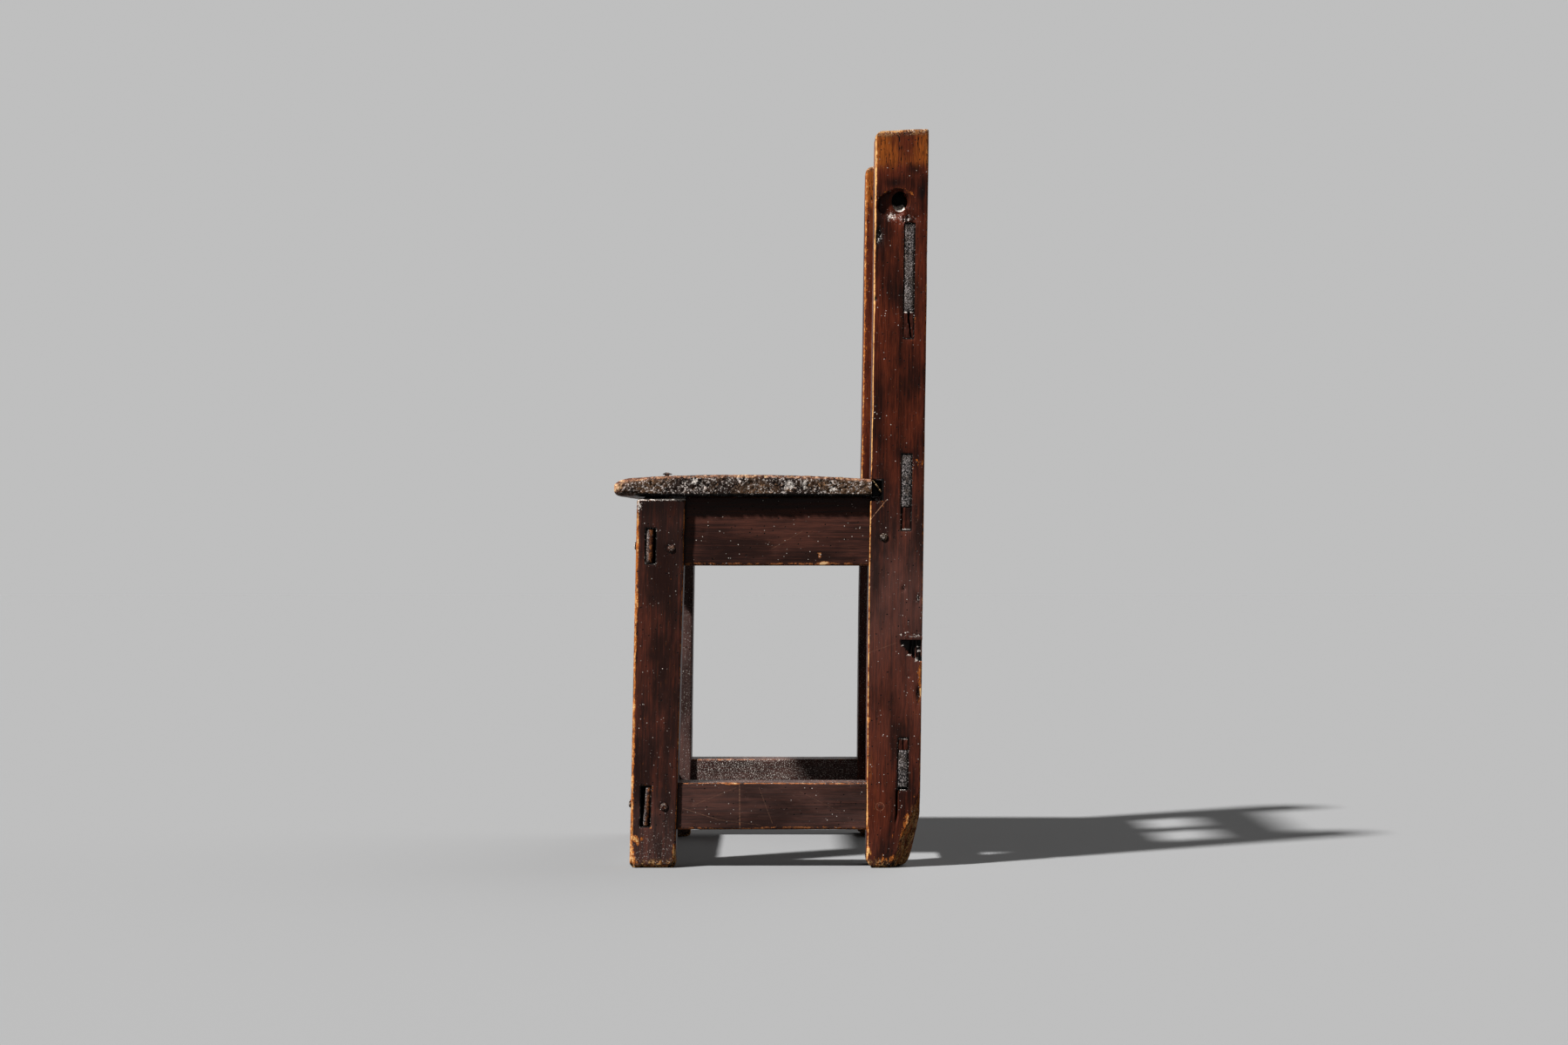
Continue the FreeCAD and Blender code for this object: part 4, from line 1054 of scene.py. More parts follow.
def front_leg(side, seed):
    """A leg worked from a block: eased edges, slots, chips down the front edge and a ragged foot."""
    slot_y = [edge for slot in leg_slots.values() for edge in slot[:2]]
    slot_z = [edge for slot in leg_slots.values() for edge in slot[2:]]
    lines = (grid_lines(0, LEG_WIDTH, LEG_STEP), grid_lines(0, LEG_FOOT_DEPTH, LEG_STEP, slot_y),
             grid_lines(0, LEG_HEIGHT, LEG_STEP, slot_z))
    leg = Timber(lines, along=2, seed=seed, slots=list(leg_slots.values()))
    y, z = leg.square[:, 1], leg.square[:, 2]
    ahead = step_up(LEG_FOOT_DEPTH / 2 - y, -4, 4)
    low_down = step_up(45 - z, 0, 40)
    rounding = (1.4 + 1.2 * ahead + 1.6 * low_down) * (1 + 0.55 * leg.wander((12, 12, 20), 3))
    leg.ease(np.maximum(LEAST_ROUND, rounding))
    leg.plane(PLANING)
    leg.rub(0.50 + 0.06 * ahead, 0.9 + 2.0 * ahead)
    leg.rub(0.45 * low_down, 3.4)
    leg.nick_edges(*LEG_NICKS)
    leg.bruise(*LEG_BRUISES)
    leg.bare_patches(LEG_WIDTH, leg_bare_patches)
    worn_foot(leg, LEG_WIDTH, LEG_FOOT_DEPTH)
    work_slots(leg, leg_slots)
    for height in leg_peg_heights.values():
        peg_ring(leg, LEG_FOOT_DEPTH - PEG_INSET, height, 0.35)
    # Painted highlight: the top edges of the leg, under the seat, are flecked pale as if lit.
    leg.mark("fleck", 1.5 * step_up(z, LEG_HEIGHT - 3.2, LEG_HEIGHT - 0.6) * step_up(2.8 - leg.arris, 0, 2))
    leg.spot("fleck", 0.9, (LEG_WIDTH, 1.5, LEG_HEIGHT - 6), (4.0, 2.5, 6.0))
    leg.mark("grime", 0.5 * step_up(z, LEG_HEIGHT - 34, LEG_HEIGHT - 4))
    leg.mark("fleck", 0.25 * step_up(60 - z, 0, 50))
    leg.mark("grime", 0.16 * step_up(45 - z, 0, 35))
    leg.mark("end", step_up(0.6 - z, 0, 0.5) + step_up(z - LEG_HEIGHT, -0.5, 0))
    leg.finish["tone"] = 0.12 * hump(z, 165, 50) - 0.22 - 0.14 * step_up(z, 215, 260)
    leg.finish["film"] = 0.20 * step_up(75 - z, 0, 55) + 0.10
    if side < 0:
        dull_inner_face(leg, 0.55)
    leg.set_on_side(side, INNER_X, lambda along, up: lean_leg(along, up, FOOT_DEPTHS[side]))
    return leg


for side_name, side, seed in (("left", 1, 11), ("right", -1, 12)):
    node = side_name + "_front_leg"
    make_piece("worn_" + node, node, "post_wood", [front_leg(side, seed)])

# %% [markdown]
# ## Hanging hole
# Near the top of the left post is a blind hole, and hanging the chair up has worn an oval dish round
# it. The hole is a square pocket in the grid whose rings are drawn into circles. The dish is steep on
# its front side and runs out softly behind, where the wood has torn down to the crest rail's tenon. The
# hole is painted black inside as shade. It wanders up and forward as it goes in, so that its lower lip
# shows, and that lip is painted pale as a highlight.

# %% Hole and dish
hole_mount = next(mount for mount in frame["record"]["mounts"] if mount["name"] == "hanging_hole")
HOLE_RADIUS = hole_mount["dims"]["r_mm"]
HOLE_Z = hole_mount["pos_m"][2] / MM
HOLE_Y = hole_mount["pos_m"][1] / MM - post_front(HOLE_Z)
HOLE_FLOOR_X = 8.0
HOLE_REACH = 11.0
HOLE_DRIFT = (-1.8, 3.5)
HOLE_TALLER = 0.28
DISH_CENTRE = (17.2, 519.2)
DISH_HALF = (15.4, 13.2)
DISH_DEPTH = 4.2
hole_slot = (HOLE_Y - HOLE_RADIUS, HOLE_Y + HOLE_RADIUS, HOLE_Z - HOLE_RADIUS, HOLE_Z + HOLE_RADIUS)


def round_hole(post):
    """Draw the square rings round the hole into circles, fully at its edge and not at all at the reach.

    Near the mouth the circle is taller than wide, where the peg on the wall has worn it up and down.
    """
    y, z = post.points[:, 1] - HOLE_Y, post.points[:, 2] - HOLE_Z
    ring = np.maximum(np.abs(y), np.abs(z))
    length = np.maximum(np.hypot(y, z), TINY)
    part = np.clip((ring - HOLE_RADIUS) / (HOLE_REACH - HOLE_RADIUS), 0, 1)
    factor = np.where(ring < HOLE_REACH, (1 - part) * ring / length + part, 1)
    depth = POST_WIDTH - post.square[:, 0]
    taller = 1 + HOLE_TALLER * (1 - part) * (1 - step_up(depth, 1, 8))
    post.points[:, 1] = HOLE_Y + y * factor
    post.points[:, 2] = HOLE_Z + z * factor * taller


def wear_dish(post):
    """The dish round the hole: an oval hollow, steep on its front side and running out softly behind."""
    y, z = post.square[:, 1] - DISH_CENTRE[0], post.square[:, 2] - DISH_CENTRE[1]
    oval = np.hypot(y / DISH_HALF[0], z / DISH_HALF[1]) + 0.06 * post.wander((5, 5, 5), 82)
    soft = 0.14 + 0.80 * step_up(y / DISH_HALF[0] - 0.5 * z / DISH_HALF[1], -0.8, 0.8)
    outside = step_up(post.square[:, 0], POST_WIDTH / 2, POST_WIDTH / 2 + 1)
    hollow = outside * step_up((1 - oval) / soft, 0, 1)
    post.press(DISH_DEPTH * hollow * (1 + 0.12 * post.wander((4, 4, 10), 81)))
    # Painted shade: the steep front wall of the dish is darkened as if in its own shadow.
    front_wall = hump(oval, 0.80, 0.28) * step_up(-y, 0, 8)
    post.mark("grime", 0.50 * outside * front_wall)
    post.mark("wear", 0.4 * outside * hump(oval, 1.04, 0.05) * step_up(z, 2, 9))


def bore_hole(post):
    """Paint the hole black inside as shade, let it wander as it goes in, and paint its lower rear lip pale as
    a highlight.
    """
    y, z = post.square[:, 1] - HOLE_Y, post.square[:, 2] - HOLE_Z
    bored = post.wall & (np.maximum(np.abs(y), np.abs(z)) < HOLE_RADIUS + TINY)
    depth = POST_WIDTH - post.square[:, 0]
    drift = bored * step_up(depth, 1, 9)
    post.points[:, 1] += HOLE_DRIFT[0] * drift
    post.points[:, 2] += HOLE_DRIFT[1] * drift
    # Painted shade: the walls of the hole are marked fully black.
    post.mark("grime", 1.0 * bored)
    # Painted highlight: the lower rear lip near the mouth is flecked pale, where light would catch it.
    post.mark("fleck", bored * step_up(0.55 * y - z, 2.2, 3.6) * step_up(10 - depth, 0, 2))


print("hole of", 2 * HOLE_RADIUS, "mm,", round(HOLE_Z, 1), "mm up the post")

# %% [markdown]
# ## Back posts
# A post is one length from the floor to the top. It has three slots, a notch in front that houses the
# seat board, a rounded top and a heel worn away by tipping the chair. The notch is made by pressing
# the front face back between two line pairs; points that fall together there are merged later.

# %% Post shapes
POST_STEPS = (1.25, 1.05, 1.35)
FINE_STEP = 0.8
FINE_HEIGHTS = ((484, 538), (160, 186))    # by the hole, and by the torn place
NOTCH_DEPTH = 8.4
NOTCH_HEIGHTS = (287.9, 305.4)
CROWN_RADIUS = 5.6
TOP_SLOPE = 2.0
HEEL_HEIGHT = 42.0
HEEL_WEAR = 8.5
HEEL_ROUND = (4.5, 3.0)
SPLIT_Y = 22.75
SPLIT_HEIGHTS = (31.0, 61.0)
SPLIT_LINES = (-0.45, 0.0, 0.45)
FRONT_FULL = {1: 0.8, -1: 2.1}        # how far each post's front face stands ahead of a straight line
post_peg_heights = {"rail": (259.5, 0.35), "foot": (FOOT_PEG_HEIGHT, 0.10)}    # and depth of its groove


def lean_post(y, z, ahead):
    """Follow the leaning front face, which is a little full; towards the floor the heel is worn away.

    The heel's wear grows in a line from its height to the floor, and rounds by e to the minus height.
    """
    tipped = HEEL_WEAR * np.clip(1 - z / HEEL_HEIGHT, 0, 1) + HEEL_ROUND[0] * np.exp(-z / HEEL_ROUND[1])
    full = ahead + 0.8 * hump(z, 190, 130)
    return post_front(z) + y * (1 - tipped / POST_DEPTH) - full * (1 - step_up(y, 0, 20))


def crown(points):
    """Round the top front corner: a square of side r becomes a quarter disc, u and v to u*sqrt(1 - v*v/2)."""
    u = np.clip((CROWN_RADIUS - points[:, 1]) / CROWN_RADIUS, 0, 1)
    v = np.clip((points[:, 2] - POST_HEIGHT + CROWN_RADIUS) / CROWN_RADIUS, 0, 1)
    points[:, 1] += CROWN_RADIUS * u * (1 - np.sqrt(1 - v * v / 2))
    points[:, 2] -= CROWN_RADIUS * v * (1 - np.sqrt(1 - u * u / 2))


def post_block(seed, with_hole):
    """The squared post with its slots, and finer lines round the hole and the torn place behind."""
    slot_list = list(post_slots.values())
    pockets = [(hole_slot, HOLE_FLOOR_X)] if with_hole else []
    edges = slot_list + [pocket[0] for pocket in pockets]
    slot_y = [edge for slot in edges for edge in slot[:2]]
    slot_y += [NOTCH_DEPTH] + [SPLIT_Y + gap for gap in SPLIT_LINES]
    slot_z = [edge for slot in edges for edge in slot[2:]]
    if with_hole:
        for low, high in FINE_HEIGHTS:
            slot_z += np.arange(low, high, FINE_STEP).tolist()
    lines = (grid_lines(0, POST_WIDTH, POST_STEPS[0]), grid_lines(0, POST_DEPTH, POST_STEPS[1], slot_y),
             grid_lines(0, POST_HEIGHT, POST_STEPS[2], slot_z, NOTCH_HEIGHTS))
    return Timber(lines, along=2, seed=seed, slots=slot_list, pockets=pockets)


print("post block:", round(POST_WIDTH, 1), "x", POST_DEPTH, "x", round(POST_HEIGHT, 1), "mm")

# %% [markdown]
# ## Marks on the posts
# Single marks make the chair this chair: a knot broken out by the front edge, a gouge torn out of the
# rear edge, a split that runs down from the lowest slot, dents, stains and bare patches. Each has its
# place across the post and up it. The scratches are drawn by the material.

# %% Post marks
post_stains = ((30.0, 548.0, 10.0, 7.0), (15.0, 537.5, 11.0, 6.5), (36.0, 530.0, 4.0, 9.0))
post_dents = (                        # y, z, then size across and up, depth, roughness, pale crumbs, dirt
    (3.8, 496.0, 2.6, 7.0, 2.4, 1.5, 0.64, 1.0),
    (1.8, 446.5, 1.4, 1.8, 1.4, 0.5, 0.35, 0.9),
    (24.6, 509.5, 7.0, 4.5, 2.8, 1.9, 0.62, 0.5),
    (27.0, 504.5, 3.2, 2.4, 3.4, 0.8, 0.30, 1.0),
    (26.0, 219.0, 1.8, 2.2, 0.8, 0.8, 0.40, 0.6),
    (37.0, 211.0, 2.2, 5.0, 0.9, 1.4, 0.55, 0.7),
    (38.5, 136.0, 1.6, 9.0, 0.9, 1.5, 0.45, 0.8),
    (31.0, 150.0, 1.2, 1.2, 0.5, 0.5, 0.60, 0.3),
)
heel_patches = (                      # y, z, size inward, across and up, amount
    (4.5, 11.0, 5.0, 4.0, 6.5, 0.84), (0.0, 37.0, 4.0, 2.6, 10.0, 0.52),
    (38.5, 46.0, 6.0, 2.8, 14.0, 0.42), (34.5, 38.0, 4.0, 3.4, 6.0, 0.50),
    (32.0, 22.0, 5.0, 7.0, 14.0, 0.42), (30.0, 7.0, 6.0, 9.0, 8.0, 0.44),
    (12.0, 6.0, 6.0, 12.0, 5.0, 0.36),
)
post_patches = (
    (0.0, 117.0, 4.0, 2.4, 5.0, 0.66), (41.0, 149.0, 4.0, 3.2, 14.0, 0.42),
    (41.0, 137.0, 4.0, 1.6, 3.5, 0.80), (9.4, 297.0, 3.0, 0.9, 9.0, 0.42),
    (37.5, 318.0, 4.0, 4.0, 6.0, 0.24), (41.0, 225.0, 4.0, 2.2, 9.0, 0.42),
)
post_flecks = (                       # y, z, then size across and up
    (37.6, 173.5, 1.5, 0.7), (37.6, 170.4, 1.8, 1.0), (36.4, 163.6, 1.4, 2.0), (31.0, 167.2, 2.2, 0.8),
    (25.5, 174.6, 1.2, 0.7), (27.0, 61.0, 3.6, 0.8), (8.0, 287.3, 4.0, 0.6),
    (24.0, 183.0, 1.6, 0.6), (28.5, 185.0, 1.8, 0.6),
)
# Painted sheen: a pale glint laid on the dish below the hole.
dish_glints = ((13.6, 511.0, 5.5, 4.5),)
TEAR_TOP = 179.2
TEAR_START = 175.5             # height of the lower border at its inner end, from where it falls
TEAR_FALL = 13.5
TEAR_LEFT = 23.8
TEAR_WIDE = 13.5
tear_grooves = (31.6, 34.5)


def tear_rear_edge(post):
    """A three-sided gouge in the rear edge: its lower border falls towards the edge, with torn strips."""
    x, y, z = post.square.T
    across = np.clip((y - TEAR_LEFT) / TEAR_WIDE, 0, 1)
    ragged = 0.8 * post.wander((1.8, 1.8, 3), 84, 2)
    border = np.minimum(z - (TEAR_START - TEAR_FALL * across) + ragged, TEAR_TOP - z + 0.5 * ragged)
    torn = step_up(border, 0, 0.7) * step_up(y, TEAR_LEFT, TEAR_LEFT + 0.8)
    torn = torn * step_up(x, POST_WIDTH - 12, POST_WIDTH - 1)
    strips = 1 + 0.9 * post.wander((1.6, 1.6, 16), 85, 2)
    for place in tear_grooves:
        strips = strips + 1.2 * hump(y, place, 0.6)
    post.points[:, 0] -= torn * (0.9 + 1.9 * across) * np.maximum(0, strips)
    post.mark("grime", 1.1 * torn * step_up(strips, 0.5, 1.1))
    crumpled = hump(z, TEAR_TOP + 3, 2.2) * step_up(y, TEAR_LEFT, TEAR_LEFT + 4)
    post.press(0.5 * crumpled * post.wander((3, 3, 1.2), 87, 2))
    post.mark("fleck", 0.5 * crumpled * step_up(x, POST_WIDTH - 2, POST_WIDTH))


def split_post(post):
    """A crack that runs down from the lowest slot: a narrow black groove that closes at its lower end."""
    x, y, z = post.square.T
    along = step_up(z, SPLIT_HEIGHTS[0], SPLIT_HEIGHTS[0] + 14) * (z < SPLIT_HEIGHTS[1])
    split = along * hump(y, SPLIT_Y, 0.55) * step_up(x, POST_WIDTH - 3, POST_WIDTH - 1)
    post.press(2.6 * split)
    post.mark("grime", 1.3 * split)


def mark_post(post):
    """Work all single marks of the left post into its outer side."""
    for y, z, wide, tall, depth, rough, fleck, grime in post_dents:
        post.dent((POST_WIDTH, y, z), (4.0, wide, tall), depth, rough, fleck, grime)
    post.bare_patches(POST_WIDTH, post_patches)
    tear_rear_edge(post)
    split_post(post)
    # The first set is a painted sheen in the dish, laid on as pale fleck.
    for name, amount, deep, spots in (("fleck", 0.78, 4.0, dish_glints), ("fleck", 1.2, 4.0, post_flecks),
                                      ("grime", 0.62, 14.0, post_stains)):
        for y, z, wide, tall in spots:
            post.spot(name, amount, (POST_WIDTH, y, z), (deep, wide, tall))


print("marks on the left post:", len(post_dents), "dents and", len(post_patches), "bare patches")

# %% Back post maker
POST_NICKS = (40, 0.65, 0.35, (1.5, 6), 0.8)
POST_BRUISES = (34, 0.4)
HEEL_RISE = 52.0               # the cut grain of the heel shows below this height
HEEL_INSET = 18.0              # and this far ahead of the rear face at the floor
HEEL_TAPER = 9.0
FOOT_ZONE = (3.0, 48.0)        # heights where the foot's wear is full, and where it ends
TOP_ZONE = (42.0, 24.0)        # amber begins, and is full, this far below the top
SEAT_ZONE = (300.0, 330.0)     # above the seat the front edge is handled
HIGH_ZONE = (400.0, 470.0)     # and most of all up here
post_chips = (                        # centre, way it faces, reach, roughness and bare wood
    ((POST_WIDTH - 2.4, POST_DEPTH - 3.4, 44), (1, 1, -0.28), (22, 22, 50), 1.2, 0.30),
    ((POST_WIDTH - 1.0, 1.2, 24.0), (0.8, -1, 0.0), (6, 6, 8), 0.5, 0.2),
    ((POST_WIDTH - 1.0, 1.5, 4.0), (0.6, -1, -0.8), (9, 9, 16), 0.7, 0.45),
    ((POST_WIDTH / 2, 3.0, 3.0), (0, -1, -1), (30, 12, 12), 0.8, 0.3),
)
post_tones = ((440.0, 60.0, 0.12), (335.0, 40.0, -0.16), (110.0, 60.0, 0.10))    # height, spread, amount
post_films = ((215.0, 60.0, 0.34), (110.0, 55.0, 0.10))


def bands(z, table):
    """Sum of soft bands up a post, each (height, spread, amount)."""
    return sum(amount * hump(z, height, spread) for height, spread, amount in table)


def back_post(side, seed, with_hole):
    """A post worked from a block, with slots, notch, crown, heel, and on the left the hanging hole."""
    post = post_block(seed, with_hole)
    x, y, z = post.square.T
    ahead = step_up(POST_DEPTH / 2 - y, -4, 4)
    foot = step_up(FOOT_ZONE[1] - z, 0, FOOT_ZONE[1] - FOOT_ZONE[0])
    top = step_up(z, POST_HEIGHT - TOP_ZONE[0], POST_HEIGHT - TOP_ZONE[1])
    above_seat = step_up(z, *SEAT_ZONE)
    up_high = step_up(z, *HIGH_ZONE)
    rounding = 1.4 + 0.3 * ahead + 0.5 * ahead * above_seat + 1.6 * foot + 0.3 * top
    post.ease(np.maximum(LEAST_ROUND, rounding * (1 + 0.5 * post.wander((12, 12, 24), 3))))
    post.plane(PLANING)
    if with_hole:
        wear_dish(post)
        round_hole(post)
        bore_hole(post)
    patchy = ahead * (1 + 0.28 * post.wander((12, 12, 40), 17))
    post.rub(0.46 + (0.26 + 0.16 * side * above_seat) * patchy, 0.8 + (0.25 + 1.1 * up_high) * patchy)
    post.rub(0.36 * foot, 2.6)
    post.rub(0.46 * top, 3.0)
    post.nick_edges(*POST_NICKS)
    post.bruise(*POST_BRUISES)
    work_slots(post, post_slots)
    for chip in post_chips:
        post.chip(*chip)
    worn_foot(post, POST_WIDTH, POST_DEPTH)
    post.bare_patches(POST_WIDTH, heel_patches)
    heel_line = POST_DEPTH - HEEL_INSET + HEEL_TAPER * z / HEEL_RISE
    cut_grain = step_up(y - heel_line, 0, 5) * step_up(HEEL_RISE - z, 0, 14)
    post.mark("end", 0.85 * cut_grain * step_up(post.wander((3, 3, 6), 16), -0.35, 0.15))
    if with_hole:
        mark_post(post)
    for height, sunk in post_peg_heights.values():
        peg_ring(post, PEG_INSET, height, sunk)
    post.mark("end", 0.8 * step_up(0.6 - z, 0, 0.5) + 0.8 * step_up(z - POST_HEIGHT, -0.5, 0))
    post.mark("grime", 0.25 * hump(z, 335, 30))
    post.finish["tone"] = 0.85 * top + bands(z, post_tones)
    pale_rim = step_up(z, POST_HEIGHT - 6, POST_HEIGHT - 2) * (0.7 + 0.6 * post.wander((4, 4, 4), 15))
    post.mark("fleck", 0.55 * pale_rim)
    post.mark("end", 0.7 * pale_rim)
    post.finish["film"] = bands(z, post_films) + 0.10 * foot + 0.5 * pale_rim
    if side < 0:
        dull_inner_face(post, 0.10)
        handled = step_up(4.6 - y, 0, 2.5) * step_up(2 - x, 0, 1) * above_seat
        post.mark("wear", 0.24 * handled * (1 + 0.4 * post.wander((9, 9, 40), 9)))
        post.finish["tone"] += 0.26 * step_up(2 - x, 0, 1) * above_seat * step_up(22 - y, 0, 8)
    notch = (z > NOTCH_HEIGHTS[0]) & (z < NOTCH_HEIGHTS[1])
    # Painted shade: the faces of the notch that houses the seat are marked black.
    post.mark("grime", 1.0 * (notch & (y < NOTCH_DEPTH + 1.2)))
    post.points[:, 1] = np.where(notch, np.maximum(post.points[:, 1], NOTCH_DEPTH), post.points[:, 1])
    crown(post.points)
    post.points[:, 2] -= TOP_SLOPE * step_up(z, POST_HEIGHT - 40, POST_HEIGHT) * (1 - y / POST_DEPTH)
    post.set_on_side(side, INNER_X, lambda along, up: lean_post(along, up, FRONT_FULL[side]))
    return post


for side_name, side, seed in (("left", 1, LEFT_POST_SEED), ("right", -1, LEFT_POST_SEED + 1)):
    node = side_name + "_back_post"
    make_piece("worn_" + node, node, "post_wood", [back_post(side, seed, side > 0)])

# %% [markdown]
# ## Rails across the chair
# A cross rail is a bar with a thinner tongue at each end, which runs through the leg or post. Both are
# one surface: beyond the shoulders the points are clamped into the tongue's section, and the points
# that fall together are merged. The end of the tongue is end grain, rough and grey, rounded by wear.

# %% Cross rail maker
RAIL_STEP = 1.35
TENON_STEP = 0.75
END_PROUD = 0.6
CROSS_WORK = (1.6, 0.62, 1.5)         # rounding, wear of the edges and its reach
CROSS_BRUISES = (20, 0.4)


def cross_rail(front, setback, size, heights, tenon, seed, bulge, slant):
    """A bar across the chair: front gives the leaning face it is set back from, tenon is (y, y, z, z).

    A bulging end is rounded towards its long sides, and is grey end grain only on its front half, the
    half the light falls on, so the grey is partly a painted highlight. A slant leans the tongue in its slot.
    """
    thickness, height = size
    reach = crest_high[0]
    lines = (grid_lines(-reach, reach, RAIL_STEP, (), (-INNER_X, INNER_X)),
             grid_lines(0, thickness, TENON_STEP, tenon[:2]), grid_lines(0, height, RAIL_STEP, tenon[2:]))
    rail = Timber(lines, along=0, seed=seed, endless=(0,))
    x = rail.square[:, 0]
    rail.dress(*CROSS_WORK)
    rail.bruise(*CROSS_BRUISES)
    end = np.abs(x) - INNER_X
    rail.mark("grime", 0.85 * np.exp(-np.abs(end) / 2.5))
    tongue = end > 0
    rail.clamp(tongue, {1: tenon[:2], 2: tenon[2:]})
    last = np.abs(x) > reach - 0.01
    y_end, z_end = rail.points[:, 1], rail.points[:, 2]
    edge_gap = np.minimum.reduce([y_end - tenon[0], tenon[1] - y_end, z_end - tenon[2], tenon[3] - z_end])
    edge_gap = np.maximum(edge_gap, 0)
    aside = (2 * y_end - tenon[0] - tenon[1]) / (tenon[1] - tenon[0])
    rough = 0.5 + 0.5 * rail.wander((1.4, 1.4, 1.4), 91)
    worn_end = 0.6 * rough + bulge * aside ** 2 + 0.5 * np.exp(-edge_gap / 0.4) - END_PROUD
    rail.points[:, 0] -= np.where(last, np.sign(x) * worn_end, 0)
    rail.points[:, 1] += np.where(tongue, slant * (z_end - (tenon[2] + tenon[3]) / 2), 0)
    # Painted highlight in part: on a bulging end only the front half, where the light falls, is grey end
    # grain.
    grey_part = 0.9 * step_up(-aside, -0.2, 0.5) if bulge > 1 else 1.0
    rail.finish["end"] = np.where(np.abs(x) > reach - 2, grey_part, 0.0)
    rail.finish["wear"][tongue] = 0.40 if bulge > 1 else 0.0
    rail.finish["fleck"][tongue] = 0
    rail.finish["grime"][tongue] = np.where(last[tongue], 0.7 * np.exp(-edge_gap[tongue] / 0.4), 1.0)
    rail.points[:, 1] += front(rail.points[:, 2] + heights) + setback
    rail.points[:, 2] += heights
    return rail


BACK_RAIL_REAR = BACK_TENON[1] + 2.0
FRONT_SETBACK = 4.0
CREST_THICKNESS = 20.0
FOOT_TONGUE = (10.6, 15.1)
cross_rails = {                       # lean, thickness, low, high, tongue (y, y), (z, z), bulge, slant, seed
    "crest_rail": (post_front, CREST_THICKNESS, crest_low[2], crest_high[2], BACK_TENON,
                   (crest_wedge[1], crest_high[2]), 0.3, 0.0, 31),
    "lower_back_rail": (post_front, 23.5, lower_low[2], lower_high[2], BACK_TENON,
                        (lower_wedge[1], lower_wedge[1] + LOWER_TENON_HEIGHT), 0.3, 0.0, 32),
    "rear_stretcher": (post_front, 14.0, rear_low[2], rear_high[2], BACK_TENON,
                       (rear_low[2] + REAR_TENON_RISE, rear_wedge[0]), 0.3, 0.0, 33),
    "front_seat_rail": (leg_front, 20.0, front_low[2], front_high[2], FRONT_TENON,
                        front_low[2] + np.array(FRONT_RAIL_TENON), 1.1, 0.01, 34),
    "front_stretcher": (leg_front, 18.0, foot_low[2], foot_high[2], FOOT_TONGUE,
                        foot_low[2] + np.array(STRETCHER_TENON), 1.05, 0.06, 35),
}
for rail_name, (front, thick, low_z, high_z, tongue_y, tongue_z, bulge, slant, seed) in cross_rails.items():
    setback = BACK_RAIL_REAR - thick if front is post_front else FRONT_SETBACK
    tenon = (tongue_y[0] - setback, tongue_y[1] - setback, tongue_z[0] - low_z, tongue_z[1] - low_z)
    rail = cross_rail(front, setback, (thick, high_z - low_z), low_z, tenon, seed, bulge, slant)
    make_piece("worn_" + rail_name, rail_name, "rail_wood", [rail])

# %% [markdown]
# ## Rails along the sides
# The side rails and stretchers stop at the leg and the post; their tongues are blind. The bar is worked
# straight and then each point slides along so that its ends follow the two leaning faces. The stretcher
# is where feet have rested: its top edge is bare and dusty, and it is scratched all over.

# %% Side rail maker
SIDE_TONGUE = 18.0
SIDE_STEPS = (1.1, 1.2, 1.1)
SIDE_WORK = (1.6, 0.46, 1.2)
SIDE_BRUISES = (26, 0.35)
SIDE_CHIPS = 14
CHIP_MARGIN = 5.0
CHIP_LENGTHS = (2.5, 8)
TONGUE_INSETS = (14.0, 6.0)           # of the tongue's two faces from the rail's outer face
RAIL_TENON = (4.0, 34.0)
rail_patches = ((110.0, 1.5, 4.0, 4.5, 1.8, 0.85), (106.0, 9.0, 4.0, 1.6, 3.0, 0.40))
stretcher_patches = ((40.0, 36.5, 4.0, 9.0, 1.4, 0.50), (49.3, 5.0, 4.0, 1.4, 2.0, 0.42))
side_bars = {                         # outer face, tongue heights, dust, bare patches
    "seat_rail": (RAIL_OUTER, RAIL_TENON, 0.1, rail_patches),
    "stretcher": (STRETCHER_OUTER, STRETCHER_TENON, 0.65, stretcher_patches),
}


